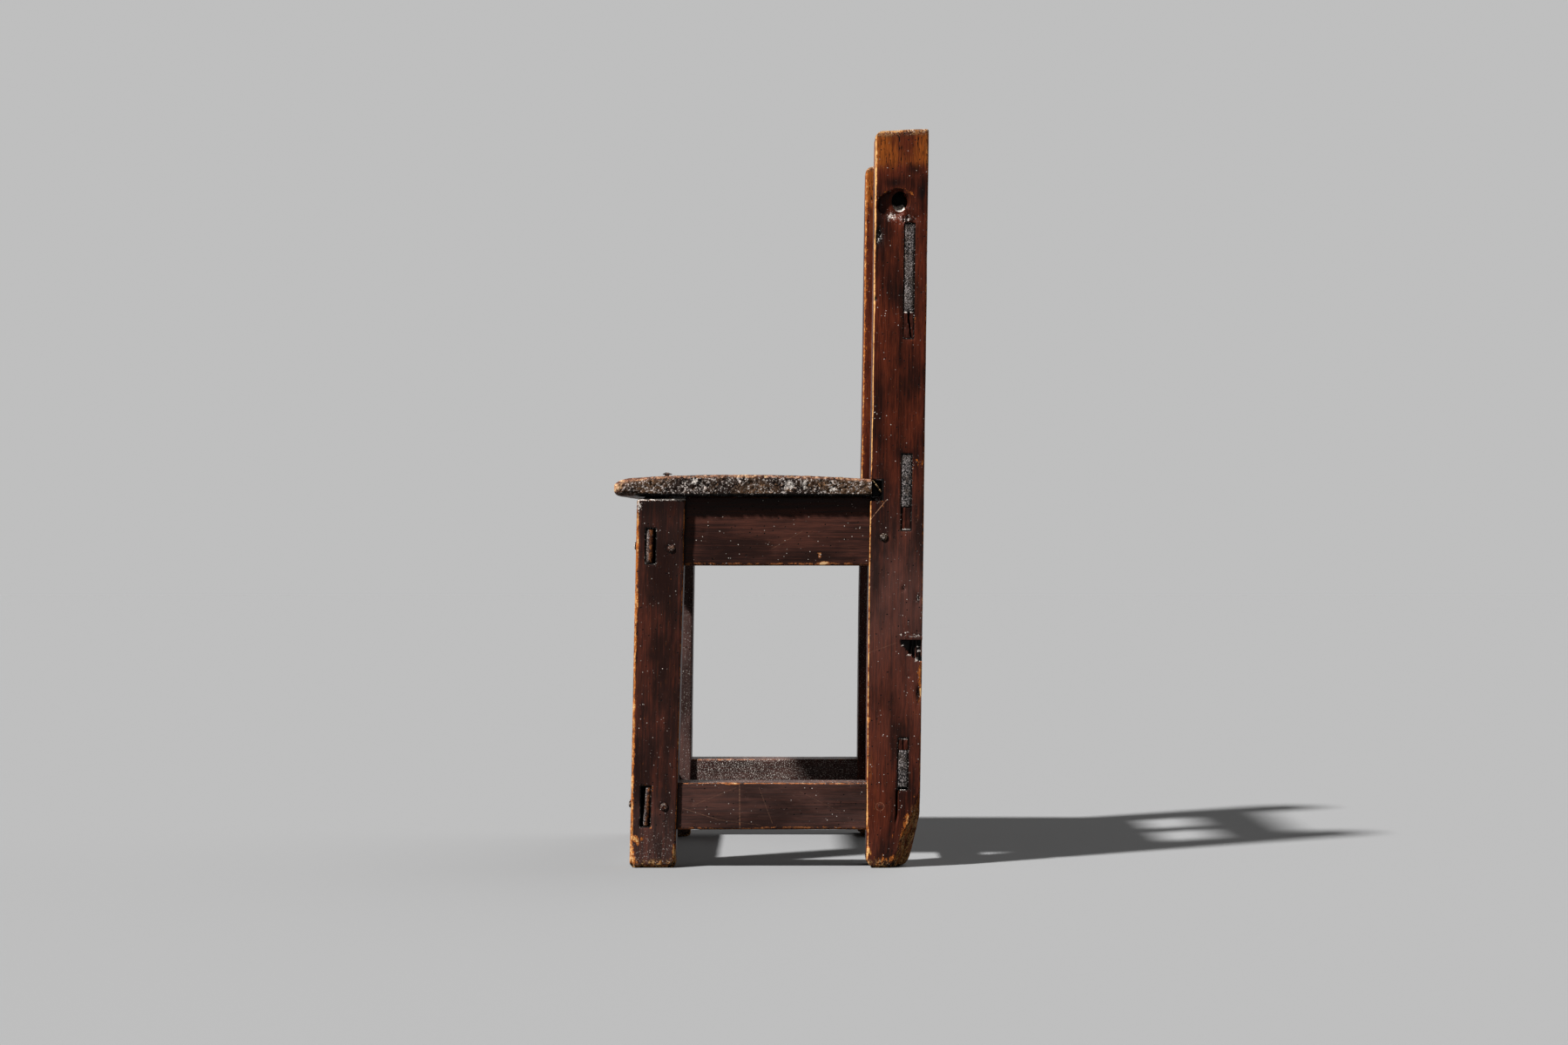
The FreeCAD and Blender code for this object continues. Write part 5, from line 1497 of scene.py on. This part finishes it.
def side_rail(side, node, tenon, seed, dusty, patches):
    """A bar along one side: its length is stretched at each height to reach from leg to post."""
    low, high = node_box(node)
    size = high - low
    length = post_front(high[2]) - leg_back(high[2])
    lines = (grid_lines(0, size[0], SIDE_STEPS[0], tenon[:2]),
             grid_lines(-SIDE_TONGUE, length + SIDE_TONGUE, SIDE_STEPS[1], (), (0, length)),
             grid_lines(0, size[2], SIDE_STEPS[2], tenon[2:]))
    rail = Timber(lines, along=1, seed=seed, endless=(1,))
    x, y, z = rail.square.T
    rail.dress(*SIDE_WORK)
    low_line = hump(z, 1.6, 0.8) * step_up(x, size[0] - 2, size[0] - 0.5)
    rail.mark("wear", low_line * (0.36 + 0.4 * rail.wander((6, 6, 24), 6)))
    rail.bare_patches(size[0], patches)
    rail.bruise(*SIDE_BRUISES)
    for place in rail.draws.uniform(CHIP_MARGIN, length - CHIP_MARGIN, SIDE_CHIPS):
        top = rail.draws.random() < 0.6
        rail.chip((size[0], place, size[2] * top), (1, 0, 1 if top else -1),
                  (2.0, rail.draws.uniform(*CHIP_LENGTHS), 2.0), 0.6, 0.9)
    end = np.maximum(-y, y - length)
    rail.mark("grime", 0.85 * np.exp(-np.abs(end) / 1.8))
    # Painted shade: the top strip of each seat rail, under the seat's overhang, is darkened as the seat's
    # shadow; the dusty stretchers get almost none.
    rail.mark("grime", 0.8 * (1 - dusty) ** 4 * step_up(z, size[2] - 13, size[2] - 8))
    tongue = end > 0
    rail.clamp(tongue, {0: tenon[:2], 2: tenon[2:]})
    top_face = step_up(z, size[2] - 1.5, size[2])
    inner_face = step_up(1 - x, 0, 0.5)
    rail.mark("wear", dusty * top_face * (0.14 + 0.6 * rail.wander((6, 6, 30), 8)))
    crumbs = inner_face * (0.72 + 0.22 * rail.wander((3, 4, 3), 9))
    rail.mark("fleck", dusty * np.maximum(0.5 * top_face, crumbs))
    rail.finish["film"] = 0.06 + dusty * (0.34 + 0.2 * inner_face - 0.2 * top_face)
    rail.finish["tone"] -= 0.06
    height = rail.points[:, 2] + low[2]
    part = rail.points[:, 1] / length
    start, stop = leg_back(height), post_front(height)
    rail.points = np.column_stack([rail.points[:, 0], start + part * (stop - start), height])
    rail.set_on_side(side, np.abs([low[0], high[0]]).min(), lambda along, up: along)
    return rail


for side_name, side, seed in (("left", 1, LEFT_RAIL_SEED), ("right", -1, LEFT_RAIL_SEED + 2)):
    for step, (bar_name, (outer, heights, dusty, patches)) in enumerate(side_bars.items()):
        node = side_name + "_" + bar_name
        tenon = (*(outer - inset for inset in TONGUE_INSETS), *heights)
        bar = side_rail(side, node, tenon, seed + step, dusty, patches)
        make_piece("worn_" + node, node, "rail_wood", [bar])

# %% [markdown]
# ## Bar in the back
# One upright bar stands between the lower rail and the crest rail, with a short tongue at each end.

# %% Back splat
splat_low, splat_high = node_box("back_splat")
SPLAT_TONGUE = 12.0
SPLAT_TENON = (4.0, 26.0, 3.0, 9.0)
SPLAT_INSET = 4.0
SPLAT_SETBACK = BACK_RAIL_REAR - CREST_THICKNESS + SPLAT_INSET
SPLAT_STEPS = (1.0, 0.9, 1.2)
SPLAT_WORK = (1.7, 0.66, 1.5)
SPLAT_BRUISES = (12, 0.35)
SPLAT_THICKNESS = 12.0


def back_splat(seed):
    """A bar with eased edges; beyond its shoulders the points are clamped into the tongue."""
    width = splat_high[0] - splat_low[0]
    tall = splat_high[2] - splat_low[2]
    lines = (grid_lines(0, width, SPLAT_STEPS[0], SPLAT_TENON[:2]),
             grid_lines(0, SPLAT_THICKNESS, SPLAT_STEPS[1], SPLAT_TENON[2:]),
             grid_lines(0, tall, SPLAT_STEPS[2], (), (SPLAT_TONGUE, tall - SPLAT_TONGUE)))
    bar = Timber(lines, along=2, seed=seed, endless=(2,))
    z = bar.square[:, 2]
    bar.dress(*SPLAT_WORK)
    bar.bruise(*SPLAT_BRUISES)
    tongue = (z < SPLAT_TONGUE) | (z > tall - SPLAT_TONGUE)
    bar.clamp(tongue, {0: SPLAT_TENON[:2], 1: SPLAT_TENON[2:]})
    from_shoulder = np.minimum(np.abs(z - SPLAT_TONGUE), np.abs(tall - SPLAT_TONGUE - z))
    bar.mark("grime", 0.85 * np.exp(-from_shoulder / 2.5))
    height = bar.points[:, 2] + splat_low[2]
    bar.points = np.column_stack([bar.points[:, 0] + splat_low[0],
                                  bar.points[:, 1] + post_front(height) + SPLAT_SETBACK, height])
    return bar


make_piece("worn_back_splat", "back_splat", "rail_wood", [back_splat(51)])

# %% [markdown]
# ## Seat board
# The seat is one board with its grain across the chair. Use has crowned its top, rounded its nose to
# pale wood and eaten its sides into rough end grain. The board is worked flat with large elliptical
# easing at the nose, and then its thickness is stretched at each place to the crown. Where it enters
# the posts its corners have broken away inside the notch, and only a splinter still reaches out.

# %% Seat maker
seat_low, seat_high = node_box("seat_board")
SEAT_THICKNESS = 17.0
SEAT_STEPS = (1.75, 0.95, 0.7)
BEVEL_STEP = 0.6
SEAT_PLANING = 0.3
SEAT_BRUISES = (40, 0.4)
CROWN_R = 1500.0
CROWN_Y = -25.0
NOSE_TOP = (15.0, 7.2)
NOSE_LOW = (5.5, 5.5)
NOSE_TIP_SHARE = 0.45
BEVEL_TOP = (79.0, 304.9)
BEVEL_LOW = (86.7, 294.5)
TONGUE_RECESS = 9.0
TONGUE_RUN = 13.0
seat_bottom = seat_high[2] - SEAT_THICKNESS
seat_spots = ((13.0, 9.0, 4.2, 4.5), (26.0, 10.0, 1.8, 4.0), (-60.0, 12.0, 3.0, 2.5), (48.0, 6.0, 2.5, 2.5))


def seat_top(y):
    """Height of the crowned top: an arc of a large circle."""
    return seat_high[2] - CROWN_R + np.sqrt(CROWN_R ** 2 - (y - CROWN_Y) ** 2)


def seat_radii(board, from_nose, nose):
    """Easing radii: a large half ellipse at the nose, a small uneven round elsewhere."""
    upper = board.square[:, 2] > NOSE_TIP_SHARE * SEAT_THICKNESS
    wobble = 1 + 0.35 * board.wander((9, 14, 30), 3)
    radius_y = np.where(from_nose < 40, np.where(upper, NOSE_TOP[0], NOSE_LOW[0]), 1.6)
    radius_z = np.where(upper, 2.6 + (NOSE_TOP[1] - 2.6) * nose, 1.8 + (NOSE_LOW[1] - 1.8) * nose)
    radius_z = radius_z * np.where(nose > 0.5, 1, wobble)
    return np.column_stack([(2.6 + 7.0 * nose) * wobble, radius_y, radius_z])


def break_tongue(board):
    """Draw the ends of the tongue inward, so the notch falls in shade, paint them black as shade as well, and
    leave a pale splinter slanting across.
    """
    x, y, z = board.points.T
    slope = (BEVEL_LOW[1] - BEVEL_TOP[1]) / (BEVEL_LOW[0] - BEVEL_TOP[0])
    line = BEVEL_TOP[1] + slope * (y - BEVEL_TOP[0]) + 0.4 * board.wander((3, 3, 3), 100)
    at_end = step_up(np.abs(board.square[:, 0]), seat_high[0] - 1, seat_high[0] - 0.2)
    splinter = at_end * hump(z, line, 1.3)
    inside = step_up(y, BEVEL_TOP[0] - 0.3, BEVEL_TOP[0] + 0.3)
    pulled = np.clip((np.abs(x) - seat_high[0] + TONGUE_RUN) / TONGUE_RUN, 0, 1)
    board.points[:, 0] -= np.sign(x) * inside * pulled * TONGUE_RECESS * (1 - splinter)
    board.finish["fleck"] *= 1 - inside * pulled
    # Painted shade: the drawn-in ends of the tongue are marked black.
    board.mark("grime", 1.2 * inside * step_up(pulled, 0, 0.3) * (1 - splinter))
    board.mark("wear", inside * step_up(splinter, 0.3, 0.6))
    board.finish["end"] *= 1 - inside


def seat_board(seed):
    """A board eased by an ellipsoid at each edge, roughened at its two ends, crowned and bevelled."""
    half = seat_high[0]
    bevel_lines = np.arange(BEVEL_TOP[0] - 0.5, seat_high[1], BEVEL_STEP)
    lines = (grid_lines(-half, half, SEAT_STEPS[0]),
             grid_lines(seat_low[1], seat_high[1], SEAT_STEPS[1], bevel_lines),
             grid_lines(0, SEAT_THICKNESS, SEAT_STEPS[2]))
    board = Timber(lines, along=0, seed=seed)
    x, y, z = board.square.T
    from_nose = y - seat_low[1]
    nose = 1 - step_up(from_nose, NOSE_TOP[0], 34)
    board.ease(seat_radii(board, from_nose, nose))
    board.plane(SEAT_PLANING)
    side_face = step_up(np.abs(x), half - 3.2, half - 0.5)
    upper_face = step_up(z, SEAT_THICKNESS - 1, SEAT_THICKNESS)
    pits = board.wander((1.7, 2.4, 1.5), 95, 3)
    board.press(side_face * (1.2 * pits + 0.6 * np.maximum(0, board.wander((5, 7, 5), 96))))
    board.bruise(*SEAT_BRUISES)
    front = np.exp(-np.maximum(from_nose - 3, 0) / 7)
    top_arris = step_up(z, SEAT_THICKNESS - 3.4, SEAT_THICKNESS - 1.6)
    board.rub(0.42, 1.9)
    board.mark("wear", 0.66 * front * step_up(board.wander((5, 6, 20), 97), -0.7, 0.1))
    board.mark("wear", 0.20 * upper_face * (1 + board.wander((22, 30, 90), 98)))
    board.mark("end", side_face * (1 - 0.55 * front) * (1 - 0.85 * top_arris))
    board.mark("wear", side_face * top_arris * (0.42 + 0.6 * board.wander((3, 5, 3), 93)))
    board.mark("fleck", side_face * (0.12 + 0.30 * step_up(board.wander((9, 9, 9), 99), 0.1, 0.5)))
    # Painted shade: the lowest 3 mm of the board, behind the nose, is marked black as the shaded underside of
    # its edge.
    board.mark("grime", 1.1 * step_up(3.0 - z, 0, 1.6) * step_up(from_nose, 12, 22))
    board.mark("grime", 0.9 * side_face * step_up(pits, 0.28, 0.5))
    for place, height, wide, tall in seat_spots:
        spot = 1.2 - np.hypot((y - place) / wide, (z - height) / tall) + 0.9 * board.wander((2, 2, 2), 94, 2)
        board.mark("fleck", 0.85 * side_face * step_up(spot, 0, 0.4))
    top = seat_top(board.points[:, 1])
    board.points[:, 2] = seat_bottom + board.points[:, 2] * (top - seat_bottom) / SEAT_THICKNESS
    break_tongue(board)
    return board


make_piece("worn_seat_board", "seat_board", "seat_wood", [seat_board(61)])

# %% [markdown]
# ## Pegs
# Every joint is locked by a peg whittled to about eight sides. A peg is a profile of radii carried along
# its length: a broken, slightly domed head, a straight body and a taper. The round section is flattened
# to eight sides and roughened, so no two heads are alike.

# %% Peg maker
PEG_SIDES = 8
PEG_TURNS = 32
peg_profile_share = np.array([0.0, 0.35, 0.62, 0.84, 0.95, 1.0, 1.0, 0.98, 0.92, 0.86, 0.5, 0.0])


class Turned:
    """A surface carried round an axis, with the same records as a Timber."""

    def __init__(self, points, quads, grain, seed):
        self.points, self.quads, self.grain, self.seed = points, quads, grain, seed
        self.finish = {name: np.zeros(len(points)) for name in FINISHES}


def carried_round(head, direction, profile, sides, turns, seed, rough):
    """Rings of a profile (distance, radius) round an axis; a ring's radius follows a flat-sided outline.

    The outline of n sides has radius cos(pi/n) / cos(angle to the middle of the side).
    """
    direction = np.asarray(direction, float)
    across = np.cross(direction, (0.31, 0.52, 0.8))
    across /= np.linalg.norm(across)
    third = np.cross(direction, across)
    angle = np.linspace(0, 2 * np.pi, turns, endpoint=False)
    flat = np.cos(np.pi / sides) / np.cos((angle + 0.1 * seed) % (2 * np.pi / sides) - np.pi / sides)
    distance, radius = np.asarray(profile, float).T
    ring = radius[:, None] * (0.35 + 0.65 * flat)
    local = np.stack([ring * np.cos(angle), ring * np.sin(angle),
                      np.broadcast_to(distance[:, None], ring.shape)], axis=-1).reshape(-1, 3)
    uneven = rough * noise(local + 40 * seed, (1.6, 1.6, 3.0), seed, 2)
    spread = np.clip(np.hypot(local[:, 0], local[:, 1]) / max(radius.max(), TINY), 0, 1)
    local[:, :2] *= (1 + 0.25 * uneven * spread)[:, None]
    local[:, 2] += uneven * step_up(1.5 - local[:, 2], 0, 1.5) * 0.6
    points = np.asarray(head) + local[:, :1] * across + local[:, 1:2] * third + local[:, 2:] * direction
    index = np.arange(len(profile) * turns).reshape(len(profile), turns)
    index = np.concatenate([index, index[:, :1]], axis=1)
    return Turned(points, sheet(index, True), local, seed)


def peg(head, direction, length, seed, grey_end=1.0, dusty=0.35):
    """One peg from its exposed head inward, with a dirty mottled end that may still be stained."""
    share = peg_profile_share * PEG_RADIUS
    places = np.array([0.0, 0.02, 0.12, 0.35, 0.6, 1.0, 2.4, 0.5 * length, 0.8 * length, length - 0.4,
                       length - 0.1, length])
    body = carried_round(head, direction, np.column_stack([places, share]), PEG_SIDES, PEG_TURNS, seed, 0.8)
    depth = body.grain[:, 2]
    body.finish["end"] = grey_end * step_up(1.4 - depth, 0, 0.8)
    body.finish["grime"] = 0.2 + 0.5 * step_up(depth, 0.8, 2.0)
    # Pale fleck on the head: dust, and painted glints where light would catch its rough end.
    body.finish["fleck"] = dusty * grey_end * step_up(1.2 - depth, 0, 1)
    body.finish["wear"] = 0.36 * (1 - grey_end) * (grey_end > 0.2) * step_up(1.2 - depth, 0, 1)
    return body


SIDE_PROUD, FRONT_PROUD, BACK_PROUD = 1.2, 2.4, 1.0
FLUSH_PROUD = 0.15
outer_x = leg_high[0]
peg_x = INNER_X + PEG_INSET


def side_pegs(side, heights, length, seed, post_proud, post_grey):
    """Pegs on one side: one through the leg and one through the post."""
    leg_height, post_height = heights
    inward = (-side, 0, 0)
    leg_head = (side * (outer_x + SIDE_PROUD), leg_back(leg_height) - PEG_INSET, leg_height)
    post_head = (side * (outer_x + post_proud), post_front(post_height) + PEG_INSET, post_height)
    return [peg(leg_head, inward, length, seed, 0.35), peg(post_head, inward, length, seed + 1, post_grey)]


side_peg_sets = {                     # joint, length, proud of the post, grey of its end
    "rail": ("seat_rail", 22.8, SIDE_PROUD, 1.0),
    "foot": ("stretcher", 19.8, FLUSH_PROUD, 0.1),
}
FRONT_PEG_LENGTH = 21.4
BACK_PEG_LENGTH = 24.7
for side_name, side, seed in (("left", 1, 71), ("right", -1, 75)):
    for step, (joint, (bar_name, length, proud, grey_end)) in enumerate(side_peg_sets.items()):
        heights = (leg_peg_heights[joint], post_peg_heights[joint][0])
        pegs = side_pegs(side, heights, length, seed + 2 * step, proud, grey_end)
        short_name = side_name + "_" + bar_name.split("_")[-1]
        make_piece(short_name + "_peg_pair", side_name + "_" + bar_name + "_pegs", "peg_wood", pegs)

front_peg_heights = {"front_seat_rail": 252.45, "front_stretcher": FOOT_PEG_HEIGHT}
back_peg_heights = {"crest_rail": (448.145, 485.135), "lower_back_rail": (303.5,), "rear_stretcher": (76.7,)}
for number, (rail_name, height) in enumerate(front_peg_heights.items()):
    places = [(side * peg_x, leg_front(height) - FRONT_PROUD, height) for side in (1, -1)]
    pegs = [peg(place, (0, 1, 0), FRONT_PEG_LENGTH, 81 + 3 * number + each, dusty=0.85 - 0.6 * number)
            for each, place in enumerate(places)]
    make_piece(rail_name + "_peg_pair", rail_name + "_pegs", "peg_wood", pegs)
for number, (rail_name, heights) in enumerate(back_peg_heights.items()):
    places = [(side * peg_x, post_front(height) + POST_DEPTH + BACK_PROUD, height)
              for side in (1, -1) for height in heights]
    pegs = [peg(place, (0, -1, 0), BACK_PEG_LENGTH, 91 + 5 * number + each)
            for each, place in enumerate(places)]
    make_piece(rail_name + "_peg_set", rail_name + "_pegs", "peg_wood", pegs)

# %% [markdown]
# ## Wedges
# Where a post's slot is longer than the tenon, a slip of wood fills the rest. It has shrunk, so a dark
# crack runs beside it. Each wedge is a small block with a crack pressed into its outer end.

# %% Wedge maker
WEDGE_LENGTH = 24.0
WEDGE_STEPS = (2.0, 0.35, 0.6)
WEDGE_EDGE = (0.3,)                   # the extra grid line close to each edge
WEDGE_ROUND = 0.4
CRACK_DEPTH = 5.0
TENON_RECESS = 0.4


def wedge(side, heights, crack, torn_at, seed):
    """A slip in a post slot, torn pale at one end; the crack is a groove that leans across its width."""
    low, high = heights
    width = BACK_TENON[1] - BACK_TENON[0]
    lines = (grid_lines(0, WEDGE_LENGTH, WEDGE_STEPS[0]),
             grid_lines(0, width, WEDGE_STEPS[1], (), (), WEDGE_EDGE),
             grid_lines(0, high - low, WEDGE_STEPS[2], (), (), WEDGE_EDGE))
    slip = Timber(lines, along=2, seed=seed)
    x, y, z = slip.square.T
    slip.ease(WEDGE_ROUND * np.ones(len(x)))
    part = z / (high - low)
    start, stop, opening = crack
    line = width * (start + (stop - start) * (1 - part)) + 0.5 * slip.wander((50, 50, 5), 7, 2)
    outer = x > WEDGE_LENGTH - 1
    groove = outer * step_up(opening * (0.4 + 0.6 * part) / 2 - np.abs(y - line), -0.25, 0.1)
    slip.points[:, 0] -= CRACK_DEPTH * groove + outer * (0.3 + 0.4 * slip.wander((1.5, 1.5, 4), 9, 2))
    slip.mark("grime", groove)
    slip.mark("grime", 0.7 * np.exp(-y / 0.35))
    slip.mark("fleck", 1.1 * outer * hump(z, torn_at * (high - low), 1.3))
    slip.set_on_side(side, outer_x - TENON_RECESS - WEDGE_LENGTH,
                     lambda along, up: along + BACK_TENON[0] + post_front(up + low))
    slip.points[:, 2] += low
    return slip


wedge_cracks = {                      # heights, (start, stop, opening) of the crack, torn end, seed
    "crest_rail": (crest_wedge, (0.45, 0.75, 1.6), 1, 101),
    "lower_back_rail": (lower_wedge, (0.03, 0.05, 1.3), 0, 103),
    "rear_stretcher": (rear_wedge, (0.5, 0.5, 0.3), 1, 105),
}
for rail_name, (heights, crack, torn_at, seed) in wedge_cracks.items():
    make_piece(rail_name + "_wedge_pair", rail_name + "_wedges", "peg_wood",
               [wedge(side, heights, crack, torn_at, seed + (side < 0)) for side in (1, -1)])

# %% [markdown]
# ## Nails
# Four forged nails hold the board. A head is a low, hammered pyramid on a square shank, again a profile
# carried round an axis, with few sides and strong unevenness.

# %% Nail maker
NAIL_LENGTH = 31.0
NAIL_HEAD = 4.0
NAIL_SIDES = 5
NAIL_TURNS = 40
NAIL_SEED = 111
NAIL_ROUGH = 0.9
nail_profile = [(0.0, 0.0), (0.1, 1.6), (0.5, 2.8), (1.0, NAIL_HEAD), (1.5, NAIL_HEAD * 0.95), (1.8, 1.9),
                (3.0, 1.8), (15.0, 1.4), (NAIL_LENGTH - 0.5, 0.7), (NAIL_LENGTH, 0.0)]
FRONT_NAIL = (122.0, leg_front(LEG_HEIGHT) + 23.0)
BACK_NAIL = (124.0, post_front(seat_bottom) - 24.0)
FRONT_RISE, BACK_RISE = 3.0, 0.5
nail_heads = [(side * place[0], place[1], rise) for side in (1, -1)
              for place, rise in ((FRONT_NAIL, FRONT_RISE), (BACK_NAIL, BACK_RISE))]
nails = []
for number, (x, y, rise) in enumerate(nail_heads):
    nails.append(carried_round((x, y, seat_top(y) + rise), (0, 0, -1), nail_profile,
                               NAIL_SIDES, NAIL_TURNS, NAIL_SEED + number, NAIL_ROUGH))
make_piece("forged_seat_nails", "seat_nails", "nail_iron", nails)
